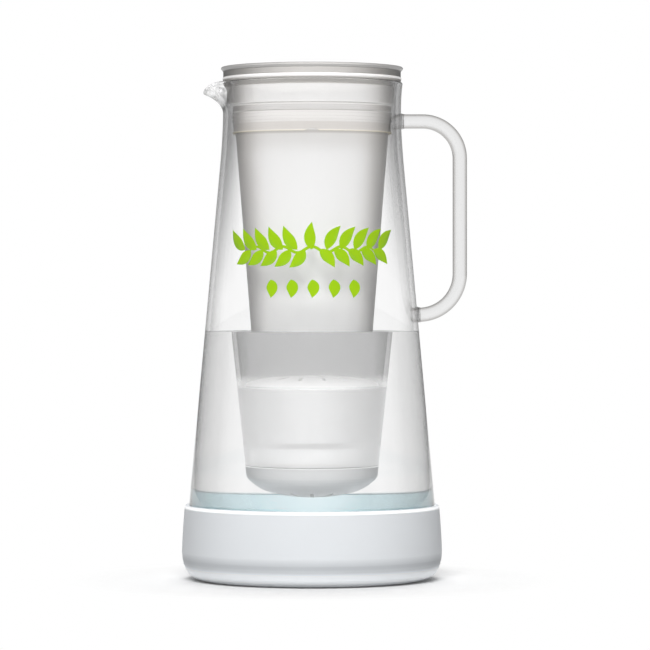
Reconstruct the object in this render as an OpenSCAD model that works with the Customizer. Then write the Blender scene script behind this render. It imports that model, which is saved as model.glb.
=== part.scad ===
// Water filter pitcher: a tapered glass jug with a fused glass handle and a
// pulled spout, standing in a silicone boot. A hopper hangs from the rim and
// carries a hollow-fibre cartridge with a carbon cartridge below it. The lid
// has a flip-up filling flap. The spout points along -X, the handle along +X,
// and the origin is on the jug's axis, at the underside of the boot.

/* [Silicone boot] */
// Height of the boot's lip above the table
boot_h = 39.7; // [30:0.1:45]
// Thickness of the boot's floor under the glass
boot_floor = 4; // [2.5:0.5:6]
// How far the boot's widest line stands out past the jug's foot
boot_bulge = 3.8; // [3:0.1:8]
// Height of the widest line
boot_bulge_z = 15; // [10:0.5:20]
// How far the edge of the flat underside lies inside the widest line
boot_tuck = 12.1; // [9:0.1:18]
// Thickness of the boot's lip
boot_lip_t = 2; // [1.5:0.1:3]

/* [Glass jug] */
// Outer radius of the jug's straight foot
jug_foot_r = 65.3; // [62:0.1:66]
// Outer radius of the rim
rim_r = 48.3; // [47.9:0.1:50]
// Height of the rim above the table
rim_z = 264; // [250:1:290]
// Thickness of the jug's wall
jug_wall = 2.5; // [2:0.1:2.8]
// Thickness of the jug's floor
jug_floor = 6; // [4:0.5:9]
// Radius of the corner between the foot and the floor
jug_corner_r = 12; // [8:0.5:16]
// How far below the rim the straight cone ends
shoulder_drop = 45; // [38:1:60]
// Outer radius where the straight cone ends
shoulder_r = 48.9; // [48.4:0.1:51]
// How far below the rim the cone's line is carried on before the neck flares out
neck_drop = 14; // [10:0.5:20]
// Height above the table at which the wall starts to thicken into the heel
heel_z = 50; // [40:1:60]
// Radius of the flat part of the inside floor
heel_flat_r = 38; // [30:1:46]

/* [Spout] */
// How far the spout's lip reaches past the rim
spout_reach = 10.2; // [7:0.1:12]
// Depth of the spout below the rim
spout_depth = 18; // [14:0.5:24]
// Angle on each side of the spout's middle over which the rim is pulled out
spout_half_a = 25; // [20:1:32]
// Thickness of the spout's glass
spout_wall = 2.2; // [1.8:0.1:2.4]
// Radius of the drooping curve of the spout's top edge, seen from the side
lip_round = 13.5; // [12:0.5:18]

/* [Handle] */
// Distance from the jug's axis to the outside of the handle
handle_reach = 82.4; // [78:0.5:92]
// Thickness of the handle, seen from the side
handle_t = 7.6; // [6:0.1:9]
// Width of the handle, seen from behind
handle_w = 12; // [10:0.5:16]
// Distance from the rim down to the middle of the upper limb
handle_drop = 20.7; // [18:0.1:30]
// Distance between the middles of the upper and lower limbs
handle_span = 102.8; // [90:0.1:115]
// Radius of the upper bend, at the middle of the glass
upper_bend_r = 19.7; // [16:0.1:24]
// Radius of the lower bend, at the middle of the glass
lower_bend_r = 21.8; // [18:0.1:24]
// Height of the fused bead round each end of the handle
bead_t = 0.8; // [0.5:0.1:1.5]

/* [Hopper] */
// Depth of the hopper below the jug's rim
hopper_depth = 204.7; // [195:0.1:215]
// How far the edge of the flange that hangs on the rim lies inside the rim's outer edge
flange_inset = 0.7; // [0.2:0.1:1]
// Thickness of the flange
flange_t = 2.7; // [2:0.1:4]
// Thickness of the rounded lip at the flange's edge
flange_lip_t = 1.7; // [1.2:0.1:2.4]
// Gap between the neck of the glass and the collar below the flange
collar_gap = 2.2; // [1.8:0.1:2.5]
// Height of the collar
collar_h = 12.1; // [10:0.1:13.5]
// Depth of the groove between the collar and the flange
collar_groove = 0.8; // [0.4:0.1:1]
// Height of that groove below the rim
collar_groove_h = 2.7; // [1.5:0.1:3]
// Number of fine ridges between the seal band and the collar
ridge_count = 3; // [1:1:3]
// Wall of the hopper's cup
hopper_wall = 1.8; // [1.5:0.1:2.2]
// Gap between the neck of the glass and the cup just below the seal band
cup_gap = 5.2; // [4.8:0.1:6]
// Outer radius of the cup at its lower end
cup_foot_r = 26.6; // [26.2:0.1:27.4]
// Height of the hopper's floor above its lower end
skirt_h = 10.7; // [9:0.1:13]
// Thickness of the hopper's floor
hopper_floor = 2.5; // [2:0.1:3.5]
// Distance from the rim down to the top of the seal band
band_drop = 16.7; // [15.5:0.1:18.5]
// Height of the seal band
band_h = 10.7; // [8:0.1:12]
// Thickness of the seal band
band_t = 1; // [0.8:0.1:1.3]
// Width of the small notch in the lower edge of the band
band_notch_w = 6.4; // [4:0.2:10]

/* [Membrane cartridge] */
// Height of the cartridge's straight-sided housing
membrane_h = 27.5; // [24:0.5:34]
// Rise of the domed cap above the housing
dome_rise = 6.8; // [5:0.1:9]
// Wall of the housing
membrane_wall = 1.8; // [1.4:0.1:2.4]
// Radius of the outlet spigot
spigot_r = 8.9; // [8:0.1:10]
// Thickness of the resin disc that holds the fibres
potting_h = 5; // [4:0.5:7]
// Number of rows of looped strands
fibre_rows = 8; // [6:1:12]
// Thickness of one fibre strand
fibre_d = 1.5; // [0.8:0.1:1.8]

/* [Carbon cartridge] */
// Height of the visible side of the cartridge above its rounded bottom
carbon_side_h = 4.6; // [3:0.1:7]
// Depth of the rounded bottom
carbon_dome_h = 11.8; // [9:0.1:14]
// Wall of the cartridge
carbon_wall = 1.6; // [1.4:0.1:2]
// Number of outlet slots
outlet_count = 12; // [8:1:16]
// Width of an outlet slot
outlet_w = 1.6; // [1.2:0.1:2.2]
// Thickness of one felt disc
felt_t = 1; // [0.8:0.1:1.5]
// Share of the media height that is carbon, the rest is ion-exchange resin
carbon_share = 0.6; // [0.4:0.05:0.75]
// Height of the cover's plate
cover_t = 1.4; // [1.2:0.1:2]

/* [Lid] */
// How far the lid's edge stands out past the rim of the glass
lid_proud = 0.1; // [0:0.1:1]
// Thickness of the lid's top plate
lid_t = 2.4; // [2.2:0.1:3]
// Thickness of the lid's thin outer edge
lid_edge_t = 1.5; // [1:0.1:2]
// Depth of the finger groove under the lid's edge
lid_groove = 1.2; // [1:0.1:2]
// Height of the finger groove
lid_neck_h = 2.9; // [2.2:0.1:5]
// Wall of the neck and of the plug skirt
lid_wall = 1.8; // [1.5:0.1:2.2]
// Height of the plug skirt that enters the hopper
plug_h = 9.5; // [9:0.1:12]
// Number of stiffening ribs under the rim
rib_count = 24; // [12:1:36]

/* [Filling flap] */
// Half the width of the flap
flap_r = 25; // [20:0.5:26]
// Distance from the lid's axis to the centre of the flap's round end
flap_centre_x = 10; // [8:0.5:11]
// Distance from the lid's axis to the hinge
hinge_x = -12; // [-16:0.5:-9]
// Thickness of the flap
flap_t = 2; // [1.8:0.1:2.2]
// Radius of the hinge pin
pin_r = 1; // [0.8:0.05:1.1]
// Width of the ledge that the flap closes on
ledge_w = 2.2; // [1.6:0.1:3]
// Radius of the thumb tab
tab_r = 6; // [4:0.5:8]
// How far the thumb tab stands past the flap's round end
tab_reach = 3; // [2:0.5:4]
// Depth of the thumb scoop
scoop_depth = 3; // [2.6:0.1:3.4]

/* [Clearances] */
// Gap between two parts that come apart
fit_gap = 0.3; // [0.2:0.05:0.4]
// Gap round the flap
flap_gap = 0.4; // [0.3:0.05:0.6]
// Radial gap between the pin and the flap's knuckles
pin_gap = 0.06; // [0.03:0.01:0.1]

/* [Hidden] */
$fn = 96;
far = 400;                 // longer than the pitcher, for cuts that go right through
sole_rings = 3;            // grooves in the boot's underside
sole_pitch = 12;
sole_groove_w = 2;
sole_groove_h = 0.6;
arc_steps = 8;             // straight stretches that stand for one curve

// Jug
foot_z = boot_floor;
boot_bulge_r = jug_foot_r + boot_bulge;
boot_foot_r = boot_bulge_r - boot_tuck;
floor_z = foot_z + jug_floor;
shoulder_z = rim_z - shoulder_drop;
neck_z = rim_z - neck_drop;
rim_edge_r = 0.8;          // rounding of the rim's two edges
punt_h = 1.2;              // hollow under the jug's floor
punt_edge = 12;            // width of the ring that the jug stands on
punt_r = jug_foot_r - jug_corner_r - punt_edge;
punt_slope = 4;

// Spout: the wall pulled outwards, most at the middle and fading away to both sides
root_z = rim_z - spout_depth;
root_sink = 0.6;           // the pulled surface starts this far inside the wall's outside
pull_steps = 11;           // rows up the spout
pull_columns = 26;         // columns across it
spout_back_r = rim_r - 8;  // back of the spout's block, inside the jug
lip_x = -(rim_r - 1);
lip_z = rim_z - lip_round;
tip_x = -(rim_r + spout_reach);
tip_z = lip_z + sqrt(pow(lip_round, 2) - pow(lip_x - tip_x, 2));

// Handle
handle_x = handle_reach - handle_t / 2;
upper_z = rim_z - handle_drop;
lower_z = upper_z - handle_span;

// Hopper
neck_in_r = rim_r - jug_wall;
flange_r = rim_r - flange_inset;
collar_r = neck_in_r - collar_gap;
cup_top_r = neck_in_r - cup_gap;
hopper_z = rim_z - hopper_depth;
hopper_floor_z = hopper_z + skirt_h;
hopper_in_z = hopper_floor_z + hopper_floor;
band_top_z = rim_z - band_drop;
band_z = band_top_z - band_h;
collar_z = rim_z - collar_h;
flange_top_z = rim_z + flange_t;
band_seat_r = cup_top_r + 0.3;
plug_bore_r = collar_r - 2;
ridge_pitch = 1;           // from one fine ridge to the next
ridge_out = 0.35;          // how far a ridge stands out
skirt_bore_r = cup_foot_r - 1.7;
socket_r = spigot_r + fit_gap;
socket_drop = 1.5;         // the socket tube reaches this far below the floor
socket_wall = 3;

// Membrane cartridge
membrane_z = hopper_in_z + fit_gap;
dome_z = membrane_z + membrane_h;
spigot_end_z = hopper_floor_z - socket_drop - 1.5;
spigot_bore_r = spigot_r - 2.4;
spigot_lug_t = 1.2;
spigot_lug_r = spigot_r + 2;
spigot_lug_a = 24;         // degrees that one lug spans
spigot_slot_a = spigot_lug_a + 8;
o_ring_d = 1.2;            // thickness of a spigot O-ring
o_ring_step = 1.7;         // from one spigot O-ring to the next
o_ring_in_r = spigot_r - 1;
o_ring_z = hopper_floor_z + 0.1;
housing_gap = 0.55;        // between the housing and the cup's tapered wall
housing_floor = 2.5;
potting_z = membrane_z + housing_floor;
cap_slot_x = 17;           // from the axis to the middle of each inlet slot
cap_slot_l = 8;
cap_slot_w = 2;
grip_r = 6.4;              // the two dents that leave a bar to turn the cartridge by
grip_y = 6.2;
grip_depth = 1;
screen_t = 0.8;

// Carbon cartridge
carbon_top_z = hopper_floor_z - 0.6;
carbon_rim_z = hopper_z - fit_gap;
carbon_side_z = carbon_rim_z - carbon_side_h;
carbon_z = carbon_side_z - carbon_dome_h;
carbon_r = cup_foot_r - 0.3;
carbon_neck_r = skirt_bore_r - 0.4;
media_r = carbon_neck_r - carbon_wall - 0.3;
cover_z = spigot_end_z - 0.4 - cover_t;
bowl_h = carbon_dome_h - carbon_wall;
outlet_space = 2.6;        // height of the water space under the outlet felt
media_floor_z = carbon_z + carbon_wall + outlet_space;
media_gap = 0.2;
media_h = cover_z - media_floor_z - 3 * felt_t - 6 * media_gap;
carbon_h = media_h * carbon_share;
resin_h = media_h - carbon_h;
outlet_x = 13;             // from the axis to the middle of each outlet slot
outlet_l = 9;
seal_groove_z = 1.2;       // from the carbon cartridge's rim up to its O-ring's groove
seal_groove_h = 1.7;
seal_groove_d = 1.1;
seal_cord_r = 0.65;
seal_sink = 0.35;          // the O-ring's middle lies this far inside the neck
bayonet_angles = [40:120:280];
bayonet_lug_z = carbon_rim_z + 5;
bayonet_lug_h = 2;
bayonet_lug_a = 16;        // degrees that one lug spans
bayonet_turn = 30;         // degrees from locked to free
bayonet_depth = 0.7;       // height of a lug on the neck
bayonet_slot_r = skirt_bore_r + 0.8;
bayonet_slot_a = bayonet_lug_a + 3;

// Lid
lid_r = rim_r + lid_proud;
lid_neck_r = lid_r - lid_groove;
lid_top_z = flange_top_z + lid_neck_h + lid_t;
plate_z = lid_top_z - lid_t;
skirt_r = plug_bore_r - 0.7;
plug_z = flange_top_z - plug_h;
lid_seal_z = plug_z + 2;
lid_seal_h = 3;

// Flap
hinge_z = lid_top_z - flap_t;
knuckle_r = flap_t;
flap_z = lid_top_z - flap_t;
ledge_z = flap_z - fit_gap;
ledge_t = 1.5;
notch_gap = 0.6;           // between a knuckle and the flap's edge beside it
notch_x = hinge_x + knuckle_r + notch_gap;
opening_back_x = notch_x + lid_wall;  // the opening's straight edge
rib_h = 1.4;               // locating rib under the flap
rib_t = 1.2;
hinge_pocket = 2.6;        // from the hinge back to the plate's edge
scoop_room = 10;           // more than the scoop's wall reaches down under the plate
trough_t = 1.2;            // floor of the trough that the knuckles turn in
knuckle_y = 9;             // inner end of each of the two knuckles
knuckle_l = 9;
scoop_r = 12;
scoop_x = flap_centre_x + flap_r + tab_reach - 1;

// ---------------------------------------------------------------- curves

// Points on a circle's arc, from angle a to angle b
function arc(x, y, r, a, b) =
    [for (i = [0:arc_steps]) let (t = a + (b - a) * i / arc_steps) [x + r * cos(t), y + r * sin(t)]];

// Points on a curve that leaves a towards b and reaches c
function bend(a, b, c, steps = arc_steps) =
    [for (i = [0:steps]) let (t = i / steps)
        (1 - t) * (1 - t) * a + 2 * t * (1 - t) * b + t * t * c];

// The same points in the opposite order
function reversed(points) = [for (i = [len(points) - 1:-1:0]) points[i]];

// A flat outline with two round ends, along Y
module stadium(length, width) {
    reach = (length - width) / 2;
    square([width, 2 * reach], center = true);
    for (side = [-1, 1])
        translate([0, side * reach]) circle(d = width);
}

// A ring about Z with a rectangular section
module ring(outer, inner, z, h) {
    translate([0, 0, z])
        difference() {
            cylinder(r = outer, h = h);
            translate([0, 0, -1]) cylinder(r = inner, h = h + 2);
        }
}

// A piece of a ring about Z, from angle a, spanning the given degrees
module ring_piece(outer, inner, z, h, a, span) {
    translate([0, 0, z]) rotate([0, 0, a])
        rotate_extrude(angle = span) translate([inner, 0]) square([outer - inner, h]);
}

// ---------------------------------------------------------------- glass

// Outside radius of the jug's cone at a height
function cone_r(z) =
    jug_foot_r + (shoulder_r - jug_foot_r) * (z - boot_h) / (shoulder_z - boot_h);

// The neck's curve, moved inwards by a distance; it leaves the cone without a kink
function neck_curve(inset) =
    bend([shoulder_r - inset, shoulder_z], [cone_r(neck_z) - inset, neck_z],
        [rim_r - inset, rim_z - rim_edge_r]);

// Outside radius of the neck at a height between the root of the spout and the rim
function neck_out_r(z) = lookup(z, [for (p = neck_curve(0)) [p[1], p[0]]]);

// The jug's outside, from the table side up to the rim, moved outwards by a distance
function jug_outside(grow = 0) = concat(
    arc(jug_foot_r - jug_corner_r, foot_z + jug_corner_r, jug_corner_r + grow, -90, 0),
    [[jug_foot_r + grow, boot_h]],
    neck_curve(-grow));

// The jug's inside, from the floor up to the rim
function jug_inside() = concat(
    [for (i = [0:arc_steps]) let (a = -90 + 90 * i / arc_steps)
        [heel_flat_r + (cone_r(heel_z) - jug_wall - heel_flat_r) * cos(a),
            heel_z + (heel_z - floor_z) * sin(a)]],
    neck_curve(jug_wall));

module jug_solid(grow = 0) {
    rotate_extrude()
        polygon(concat([[0, foot_z]], jug_outside(grow), [[0, rim_z - rim_edge_r]]));
}

module jug_cavity() {
    rotate_extrude()
        polygon(concat([[0, floor_z]], jug_inside(), [[0, rim_z - rim_edge_r]]));
}

// The jug's wall, floor and rounded rim as one revolved section
module jug_shell() {
    rotate_extrude()
        polygon(concat(
            [[0, foot_z + punt_h], [punt_r - punt_slope, foot_z + punt_h], [punt_r, foot_z]],
            jug_outside(),
            arc(rim_r - rim_edge_r, rim_z - rim_edge_r, rim_edge_r, 0, 90),
            arc(neck_in_r + rim_edge_r, rim_z - rim_edge_r, rim_edge_r, 90, 180),
            reversed(jug_inside()),
            [[0, floor_z]]));
}

// How far the wall is pulled out at the spout's middle, and how high, from root to lip;
// the inside of the spout is the same curve, raised by the share of the wall given
function pull_curve(inset) = bend(
    [0, root_z + inset / 2],
    [0.9, root_z + 8.5 + inset],
    [spout_reach + root_sink + 1, tip_z + 1.2 * inset], pull_steps);

// Share of the pull at an angle from the spout's middle
function pull_share(a) = pow(cos(90 * a / spout_half_a), 2);

// One closed outline of the spout's block, at height z: the pulled wall and a back inside the jug
function spout_ring(pull, z, inset) = concat(
    [for (i = [0:pull_columns])
        let (a = spout_half_a * (1 - 2 * i / pull_columns),
            r = neck_out_r(z) - root_sink - inset + pull * pull_share(a))
        [-r * cos(a), r * sin(a), z]],
    [[-spout_back_r * cos(spout_half_a), -spout_back_r * sin(spout_half_a), z],
        [-spout_back_r * cos(spout_half_a), spout_back_r * sin(spout_half_a), z]]);

// A solid that joins closed outlines of as many points, from the lowest to the highest
module stacked(rings) {
    n = len(rings[0]);
    last = (len(rings) - 1) * n;
    polyhedron(
        points = [for (ring = rings) each ring],
        faces = concat(
            [[for (i = [0:n - 1]) i]],
            [for (k = [0:len(rings) - 2]) for (i = [0:n - 1]) let (j = (i + 1) % n)
                [k * n + i, (k + 1) * n + i, (k + 1) * n + j]],
            [for (k = [0:len(rings) - 2]) for (i = [0:n - 1]) let (j = (i + 1) % n)
                [k * n + i, (k + 1) * n + j, k * n + j]],
            [[for (i = [n - 1:-1:0]) last + i]]));
}

// The spout as a solid block, which reaches up to the given height
module spout_block(inset, top) {
    curve = pull_curve(inset);
    stacked(concat(
        [for (p = curve) spout_ring(p[0], p[1], inset)],
        [spout_ring(curve[pull_steps][0], top, inset)]));
}

// Everything under the drooping top edge of the spout
module under_lip() {
    translate([0, far / 2, 0]) rotate([90, 0, 0]) linear_extrude(far)
        polygon(concat(
            arc(lip_x, lip_z, lip_round, 90, 180),
            [[lip_x - lip_round, root_z - 5], [0, root_z - 5], [0, rim_z]]));
}

module glass_jug() {
    color([0.86, 0.93, 0.94, 0.4])
        difference() {
            union() {
                jug_shell();
                intersection() {
                    spout_block(0, rim_z + 2);
                    under_lip();
                }
            }
            spout_block(spout_wall, rim_z + 5);
            jug_cavity();
            translate([0, 0, rim_z - rim_edge_r - 0.01])
                cylinder(r = neck_in_r, h = 5);
        }
}

module handle_section(grow = 0) {
    stadium(handle_w + 2 * grow, handle_t + 2 * grow);
}

// A straight limb from inside the jug out to x, at height z
module handle_limb(x, z, grow = 0) {
    translate([0, 0, z]) rotate([0, 90, 0])
        linear_extrude(x) handle_section(grow);
}

// A quarter bend in the XZ plane about (x, z), starting at angle a
module handle_bend(x, z, r, a) {
    translate([x, 0, z]) rotate([90, 0, 0]) rotate([0, 0, a])
        rotate_extrude(angle = 90) translate([r, 0]) handle_section();
}

module glass_handle() {
    color([0.86, 0.93, 0.94, 0.4])
        difference() {
            union() {
                handle_limb(handle_x - upper_bend_r, upper_z);
                handle_bend(handle_x - upper_bend_r, upper_z - upper_bend_r, upper_bend_r, 0);
                translate([handle_x, 0, lower_z + lower_bend_r])
                    linear_extrude(handle_span - upper_bend_r - lower_bend_r)
                        handle_section();
                handle_bend(handle_x - lower_bend_r, lower_z + lower_bend_r, lower_bend_r, -90);
                handle_limb(handle_x - lower_bend_r, lower_z);
                intersection() {
                    jug_solid(bead_t);
                    union() {
                        handle_limb(handle_x, upper_z, bead_t);
                        handle_limb(handle_x, lower_z, bead_t);
                    }
                }
            }
            jug_solid();
        }
}

// ---------------------------------------------------------------- boot

module silicone_boot() {
    seat_r = jug_foot_r + fit_gap;
    seat_corner = jug_corner_r + fit_gap;
    meet = -asin(jug_corner_r / seat_corner);
    color([0.93, 0.94, 0.95])
        difference() {
            rotate_extrude()
                polygon(concat(
                    [[0, 0]],
                    bend([boot_foot_r, 0], [boot_bulge_r - 0.5, 0], [boot_bulge_r, boot_bulge_z]),
                    bend([boot_bulge_r, boot_bulge_z],
                        [boot_bulge_r - 0.4, (boot_h + boot_bulge_z) / 2],
                        [seat_r + boot_lip_t, boot_h - boot_lip_t / 2]),
                    arc(seat_r + boot_lip_t / 2, boot_h - boot_lip_t / 2, boot_lip_t / 2, 0, 180),
                    reversed(arc(jug_foot_r - jug_corner_r, boot_floor + jug_corner_r,
                        seat_corner, meet, 0)),
                    [[0, boot_floor]]));
            for (i = [1:sole_rings])
                ring(boot_foot_r - (i - 0.5) * sole_pitch,
                    boot_foot_r - (i - 0.5) * sole_pitch - sole_groove_w, -1, 1 + sole_groove_h);
        }
}

// ---------------------------------------------------------------- hopper

// Outside radius of the cup at a height
function cup_r(z) = cup_foot_r + (cup_top_r - cup_foot_r) * (z - hopper_z) / (band_z - hopper_z);

module hopper() {
    nose = flange_lip_t / 2;
    inner_shoulder_z = band_top_z + 1;
    color([0.9, 0.91, 0.91, 0.75])
        difference() {
            union() {
                rotate_extrude()
                    polygon(concat(
                        [[cup_foot_r, hopper_z], [cup_top_r, band_z], [band_seat_r, band_z],
                            [band_seat_r, band_top_z], [band_seat_r + band_t, band_top_z + 0.6],
                            [band_seat_r + band_t, collar_z - 0.8], [collar_r, collar_z],
                            [collar_r, rim_z - collar_groove_h],
                            [collar_r - collar_groove, rim_z - collar_groove_h + collar_groove],
                            [collar_r - collar_groove, rim_z], [flange_r - nose / 2, rim_z]],
                        arc(flange_r - nose, flange_top_z - nose, nose, -45, 90),
                        [[plug_bore_r, flange_top_z], [plug_bore_r, collar_z + 1.5],
                            [band_seat_r - hopper_wall, inner_shoulder_z],
                            [cup_r(band_z) - hopper_wall, band_z],
                            [cup_r(hopper_in_z) - hopper_wall, hopper_in_z],
                            [socket_r, hopper_in_z], [socket_r, hopper_floor_z - socket_drop],
                            [socket_r + socket_wall, hopper_floor_z - socket_drop],
                            [socket_r + socket_wall, hopper_floor_z],
                            [skirt_bore_r, hopper_floor_z], [skirt_bore_r, hopper_z]]));
                for (i = [0:ridge_count - 1])
                    ring(band_seat_r + band_t + ridge_out, band_seat_r,
                        band_top_z + 1 + i * ridge_pitch, ridge_pitch / 2);
            }
            for (a = bayonet_angles) {
                ring_piece(bayonet_slot_r, skirt_bore_r - 1, bayonet_lug_z - 0.4,
                    bayonet_lug_h + 0.8, a - bayonet_slot_a / 2, bayonet_turn + bayonet_slot_a + 1);
                ring_piece(bayonet_slot_r + 0.1, skirt_bore_r - 1, hopper_z - 1,
                    bayonet_lug_z + 2 - hopper_z, a + bayonet_turn - bayonet_slot_a / 2,
                    bayonet_slot_a);
            }
            for (a = [90, 270])
                ring_piece(spigot_lug_r + fit_gap, socket_r - 1, hopper_floor_z - socket_drop - 1,
                    socket_drop + hopper_floor + 2, a - spigot_slot_a / 2, spigot_slot_a);
        }
}

// The notches in front and behind, grown by a distance
module band_notches(grow) {
    for (a = [-90, 90])
        rotate([0, 0, a]) translate([0, 0, band_z - band_notch_w * 0.8])
            rotate([0, 90, 0]) cylinder(r = band_notch_w + grow, h = far);
}

module seal_band() {
    fin = 0.5;
    fin_h = 0.8;
    fins = 3;
    bead = 0.9;            // height of the bead that follows the lower edge
    bead_out = 0.35;
    color([0.88, 0.87, 0.82, 0.85])
        difference() {
            union() {
                ring(band_seat_r + band_t, band_seat_r, band_z, band_h);
                for (i = [0:fins - 1])
                    ring(band_seat_r + band_t + fin, band_seat_r,
                        band_z + band_h / 2 + (i + 0.4) * band_h / 2 / fins, fin_h);
                intersection() {
                    ring(band_seat_r + band_t + bead_out, band_seat_r, band_z, band_h / 2);
                    union() {
                        translate([0, 0, band_z - 1]) cylinder(r = rim_r, h = 1 + bead);
                        band_notches(bead);
                    }
                }
            }
            band_notches(0);
        }
}

// ---------------------------------------------------------------- membrane cartridge

// Outside radius of the cartridge at a height, which follows the cup's taper
function membrane_r(z) = cup_r(z) - hopper_wall - housing_gap;

module membrane_housing() {
    color("white")
        difference() {
            union() {
                rotate_extrude()
                    polygon([
                        [spigot_bore_r, spigot_end_z], [spigot_r, spigot_end_z],
                        [spigot_r, membrane_z], [membrane_r(membrane_z), membrane_z],
                        [membrane_r(dome_z), dome_z], [membrane_r(dome_z) - membrane_wall, dome_z],
                        [membrane_r(membrane_z) - membrane_wall, membrane_z + housing_floor],
                        [spigot_bore_r, membrane_z + housing_floor]]);
                for (a = [0, 180])
                    ring_piece(spigot_lug_r, spigot_r - 1, spigot_end_z, spigot_lug_t,
                        a - spigot_lug_a / 2, spigot_lug_a);
            }
            for (i = [0, 1])
                ring(spigot_r + 1, o_ring_in_r, o_ring_z + i * o_ring_step - o_ring_d / 2 - 0.1,
                    o_ring_d + 0.2);
        }
}

module spigot_o_rings() {
    color([0.85, 0.85, 0.83])
        for (i = [0, 1])
            translate([0, 0, o_ring_z + i * o_ring_step])
                rotate_extrude() translate([o_ring_in_r + o_ring_d / 2, 0])
                    circle(d = o_ring_d);
}

// The strands stand in rings of loops: [turn, inner leg, outer leg, drop below the top]
fibre_loops = [[0, 6, 19, 1.3], [0, 9.5, 15.5, 8], [180 / fibre_rows, 10, 21, 3]];

// The legs of every loop, from height z over a height h
module fibre_legs(z, h, d) {
    for (loop = fibre_loops)
        for (i = [0:fibre_rows - 1])
            for (x = [loop[1], loop[2]])
                rotate([0, 0, loop[0] + 360 * i / fibre_rows])
                    translate([x, 0, z]) cylinder(d = d, h = h, $fn = 24);
}

// The resin is cast round the legs, whose open ends are flush with its underside
module potting_disc() {
    color([0.93, 0.9, 0.8])
        difference() {
            translate([0, 0, potting_z])
                cylinder(r = membrane_r(membrane_z) - membrane_wall - 0.1, h = potting_h);
            fibre_legs(potting_z - 1, potting_h + 2, fibre_d);
        }
}

// One looped fibre in the XZ plane: two legs and the bend that joins them
module fibre(inner, outer, bottom, top) {
    r = (outer - inner) / 2;
    for (x = [inner, outer])
        translate([x, 0, bottom]) cylinder(d = fibre_d, h = top - r - bottom, $fn = 24);
    translate([inner + r, 0, top - r]) rotate([90, 0, 0])
        rotate_extrude(angle = 180) translate([r, 0]) circle(d = fibre_d, $fn = 24);
}

module hollow_fibres() {
    top = dome_z - screen_t - 2;
    color([0.97, 0.97, 0.94])
        for (loop = fibre_loops)
            for (i = [0:fibre_rows - 1])
                rotate([0, 0, loop[0] + 360 * i / fibre_rows])
                    fibre(loop[1], loop[2], potting_z, top - loop[3]);
}

module inlet_screen() {
    color([0.8, 0.82, 0.84])
        difference() {
            translate([0, 0, dome_z - screen_t])
                cylinder(r = membrane_r(dome_z) - membrane_wall - 0.2, h = screen_t);
            for (row = [1:4])
                for (i = [0:6 * row - 1])
                    rotate([0, 0, i * 60 / row])
                        translate([row * 5, 0, dome_z - screen_t - 1])
                            cylinder(d = 2.6, h = screen_t + 2, $fn = 24);
        }
}

module membrane_cap() {
    rim = membrane_r(dome_z);
    wall = membrane_wall;
    outer = bend([rim, dome_z], [rim - 0.5, dome_z + dome_rise], [0, dome_z + dome_rise], 12);
    inner = bend([rim - wall, dome_z], [rim - wall - 0.5, dome_z + dome_rise - wall],
        [0, dome_z + dome_rise - wall], 12);
    color("white")
        difference() {
            rotate_extrude() polygon(concat(outer, reversed(inner)));
            for (a = [15:30:345])
                rotate([0, 0, a]) translate([cap_slot_x, 0, dome_z - 1]) rotate([0, 0, 90])
                    linear_extrude(dome_rise + 2) stadium(cap_slot_l, cap_slot_w);
            for (side = [-1, 1])
                translate([0, side * grip_y, dome_z + dome_rise + grip_r - grip_depth])
                    sphere(r = grip_r);
        }
}

// ---------------------------------------------------------------- carbon cartridge

module carbon_cup() {
    wall = carbon_wall;
    outer = [for (i = [0:12]) let (a = -90 + 90 * i / 12)
        [carbon_r * cos(a), carbon_side_z + carbon_dome_h * sin(a)]];
    inner = [for (i = [0:12]) let (a = 90 * i / 12)
        [(carbon_neck_r - wall) * cos(a), carbon_side_z - bowl_h * sin(a)]];
    color("white")
        difference() {
            union() {
                rotate_extrude()
                    polygon(concat(outer,
                        [[cup_foot_r, carbon_rim_z], [carbon_neck_r, carbon_rim_z],
                            [carbon_neck_r, carbon_top_z], [carbon_neck_r - wall, carbon_top_z]],
                        inner));
                for (a = bayonet_angles)
                    ring_piece(carbon_neck_r + bayonet_depth, carbon_neck_r - 0.5, bayonet_lug_z,
                        bayonet_lug_h, a - bayonet_lug_a / 2, bayonet_lug_a);
            }
            for (i = [0:outlet_count - 1])
                rotate([0, 0, 360 * i / outlet_count])
                    translate([outlet_x, 0, carbon_z - 1]) rotate([0, 0, 90])
                        linear_extrude(outlet_space + carbon_wall + 4) stadium(outlet_l, outlet_w);
            ring(carbon_neck_r + 1, carbon_neck_r - seal_groove_d, carbon_rim_z + seal_groove_z,
                seal_groove_h);
        }
}

module carbon_o_ring() {
    color([0.85, 0.85, 0.83])
        translate([0, 0, carbon_rim_z + seal_groove_z + seal_groove_h / 2])
            rotate_extrude() translate([carbon_neck_r - seal_sink, 0]) circle(r = seal_cord_r);
}

module felt(z) {
    color([0.96, 0.96, 0.94])
        translate([0, 0, z]) cylinder(r = media_r, h = felt_t);
}

// Inside radius of the rounded bottom at a height, less the gap round the media
function bowl_r(z) = media_r * sqrt(1 - pow((carbon_side_z - z) / (bowl_h - media_gap), 2));

module outlet_felt() {
    color([0.96, 0.96, 0.94])
        translate([0, 0, media_floor_z - felt_t])
            cylinder(r = bowl_r(media_floor_z - felt_t), h = felt_t);
}

// The bed's lower edge follows the rounded bottom
module carbon_bed() {
    z = media_floor_z + media_gap;
    top = z + carbon_h;
    color([0.12, 0.12, 0.13])
        rotate_extrude()
            polygon(concat([[0, z]],
                [for (i = [0:arc_steps]) let (h = z + (carbon_side_z - z) * i / arc_steps)
                    [bowl_r(h), h]],
                [[media_r, top], [0, top]]));
}

module middle_felt() {
    felt(media_floor_z + 2 * media_gap + carbon_h);
}

module resin_bed() {
    color([0.86, 0.72, 0.4])
        translate([0, 0, media_floor_z + 3 * media_gap + carbon_h + felt_t])
            cylinder(r = media_r, h = resin_h);
}

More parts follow.
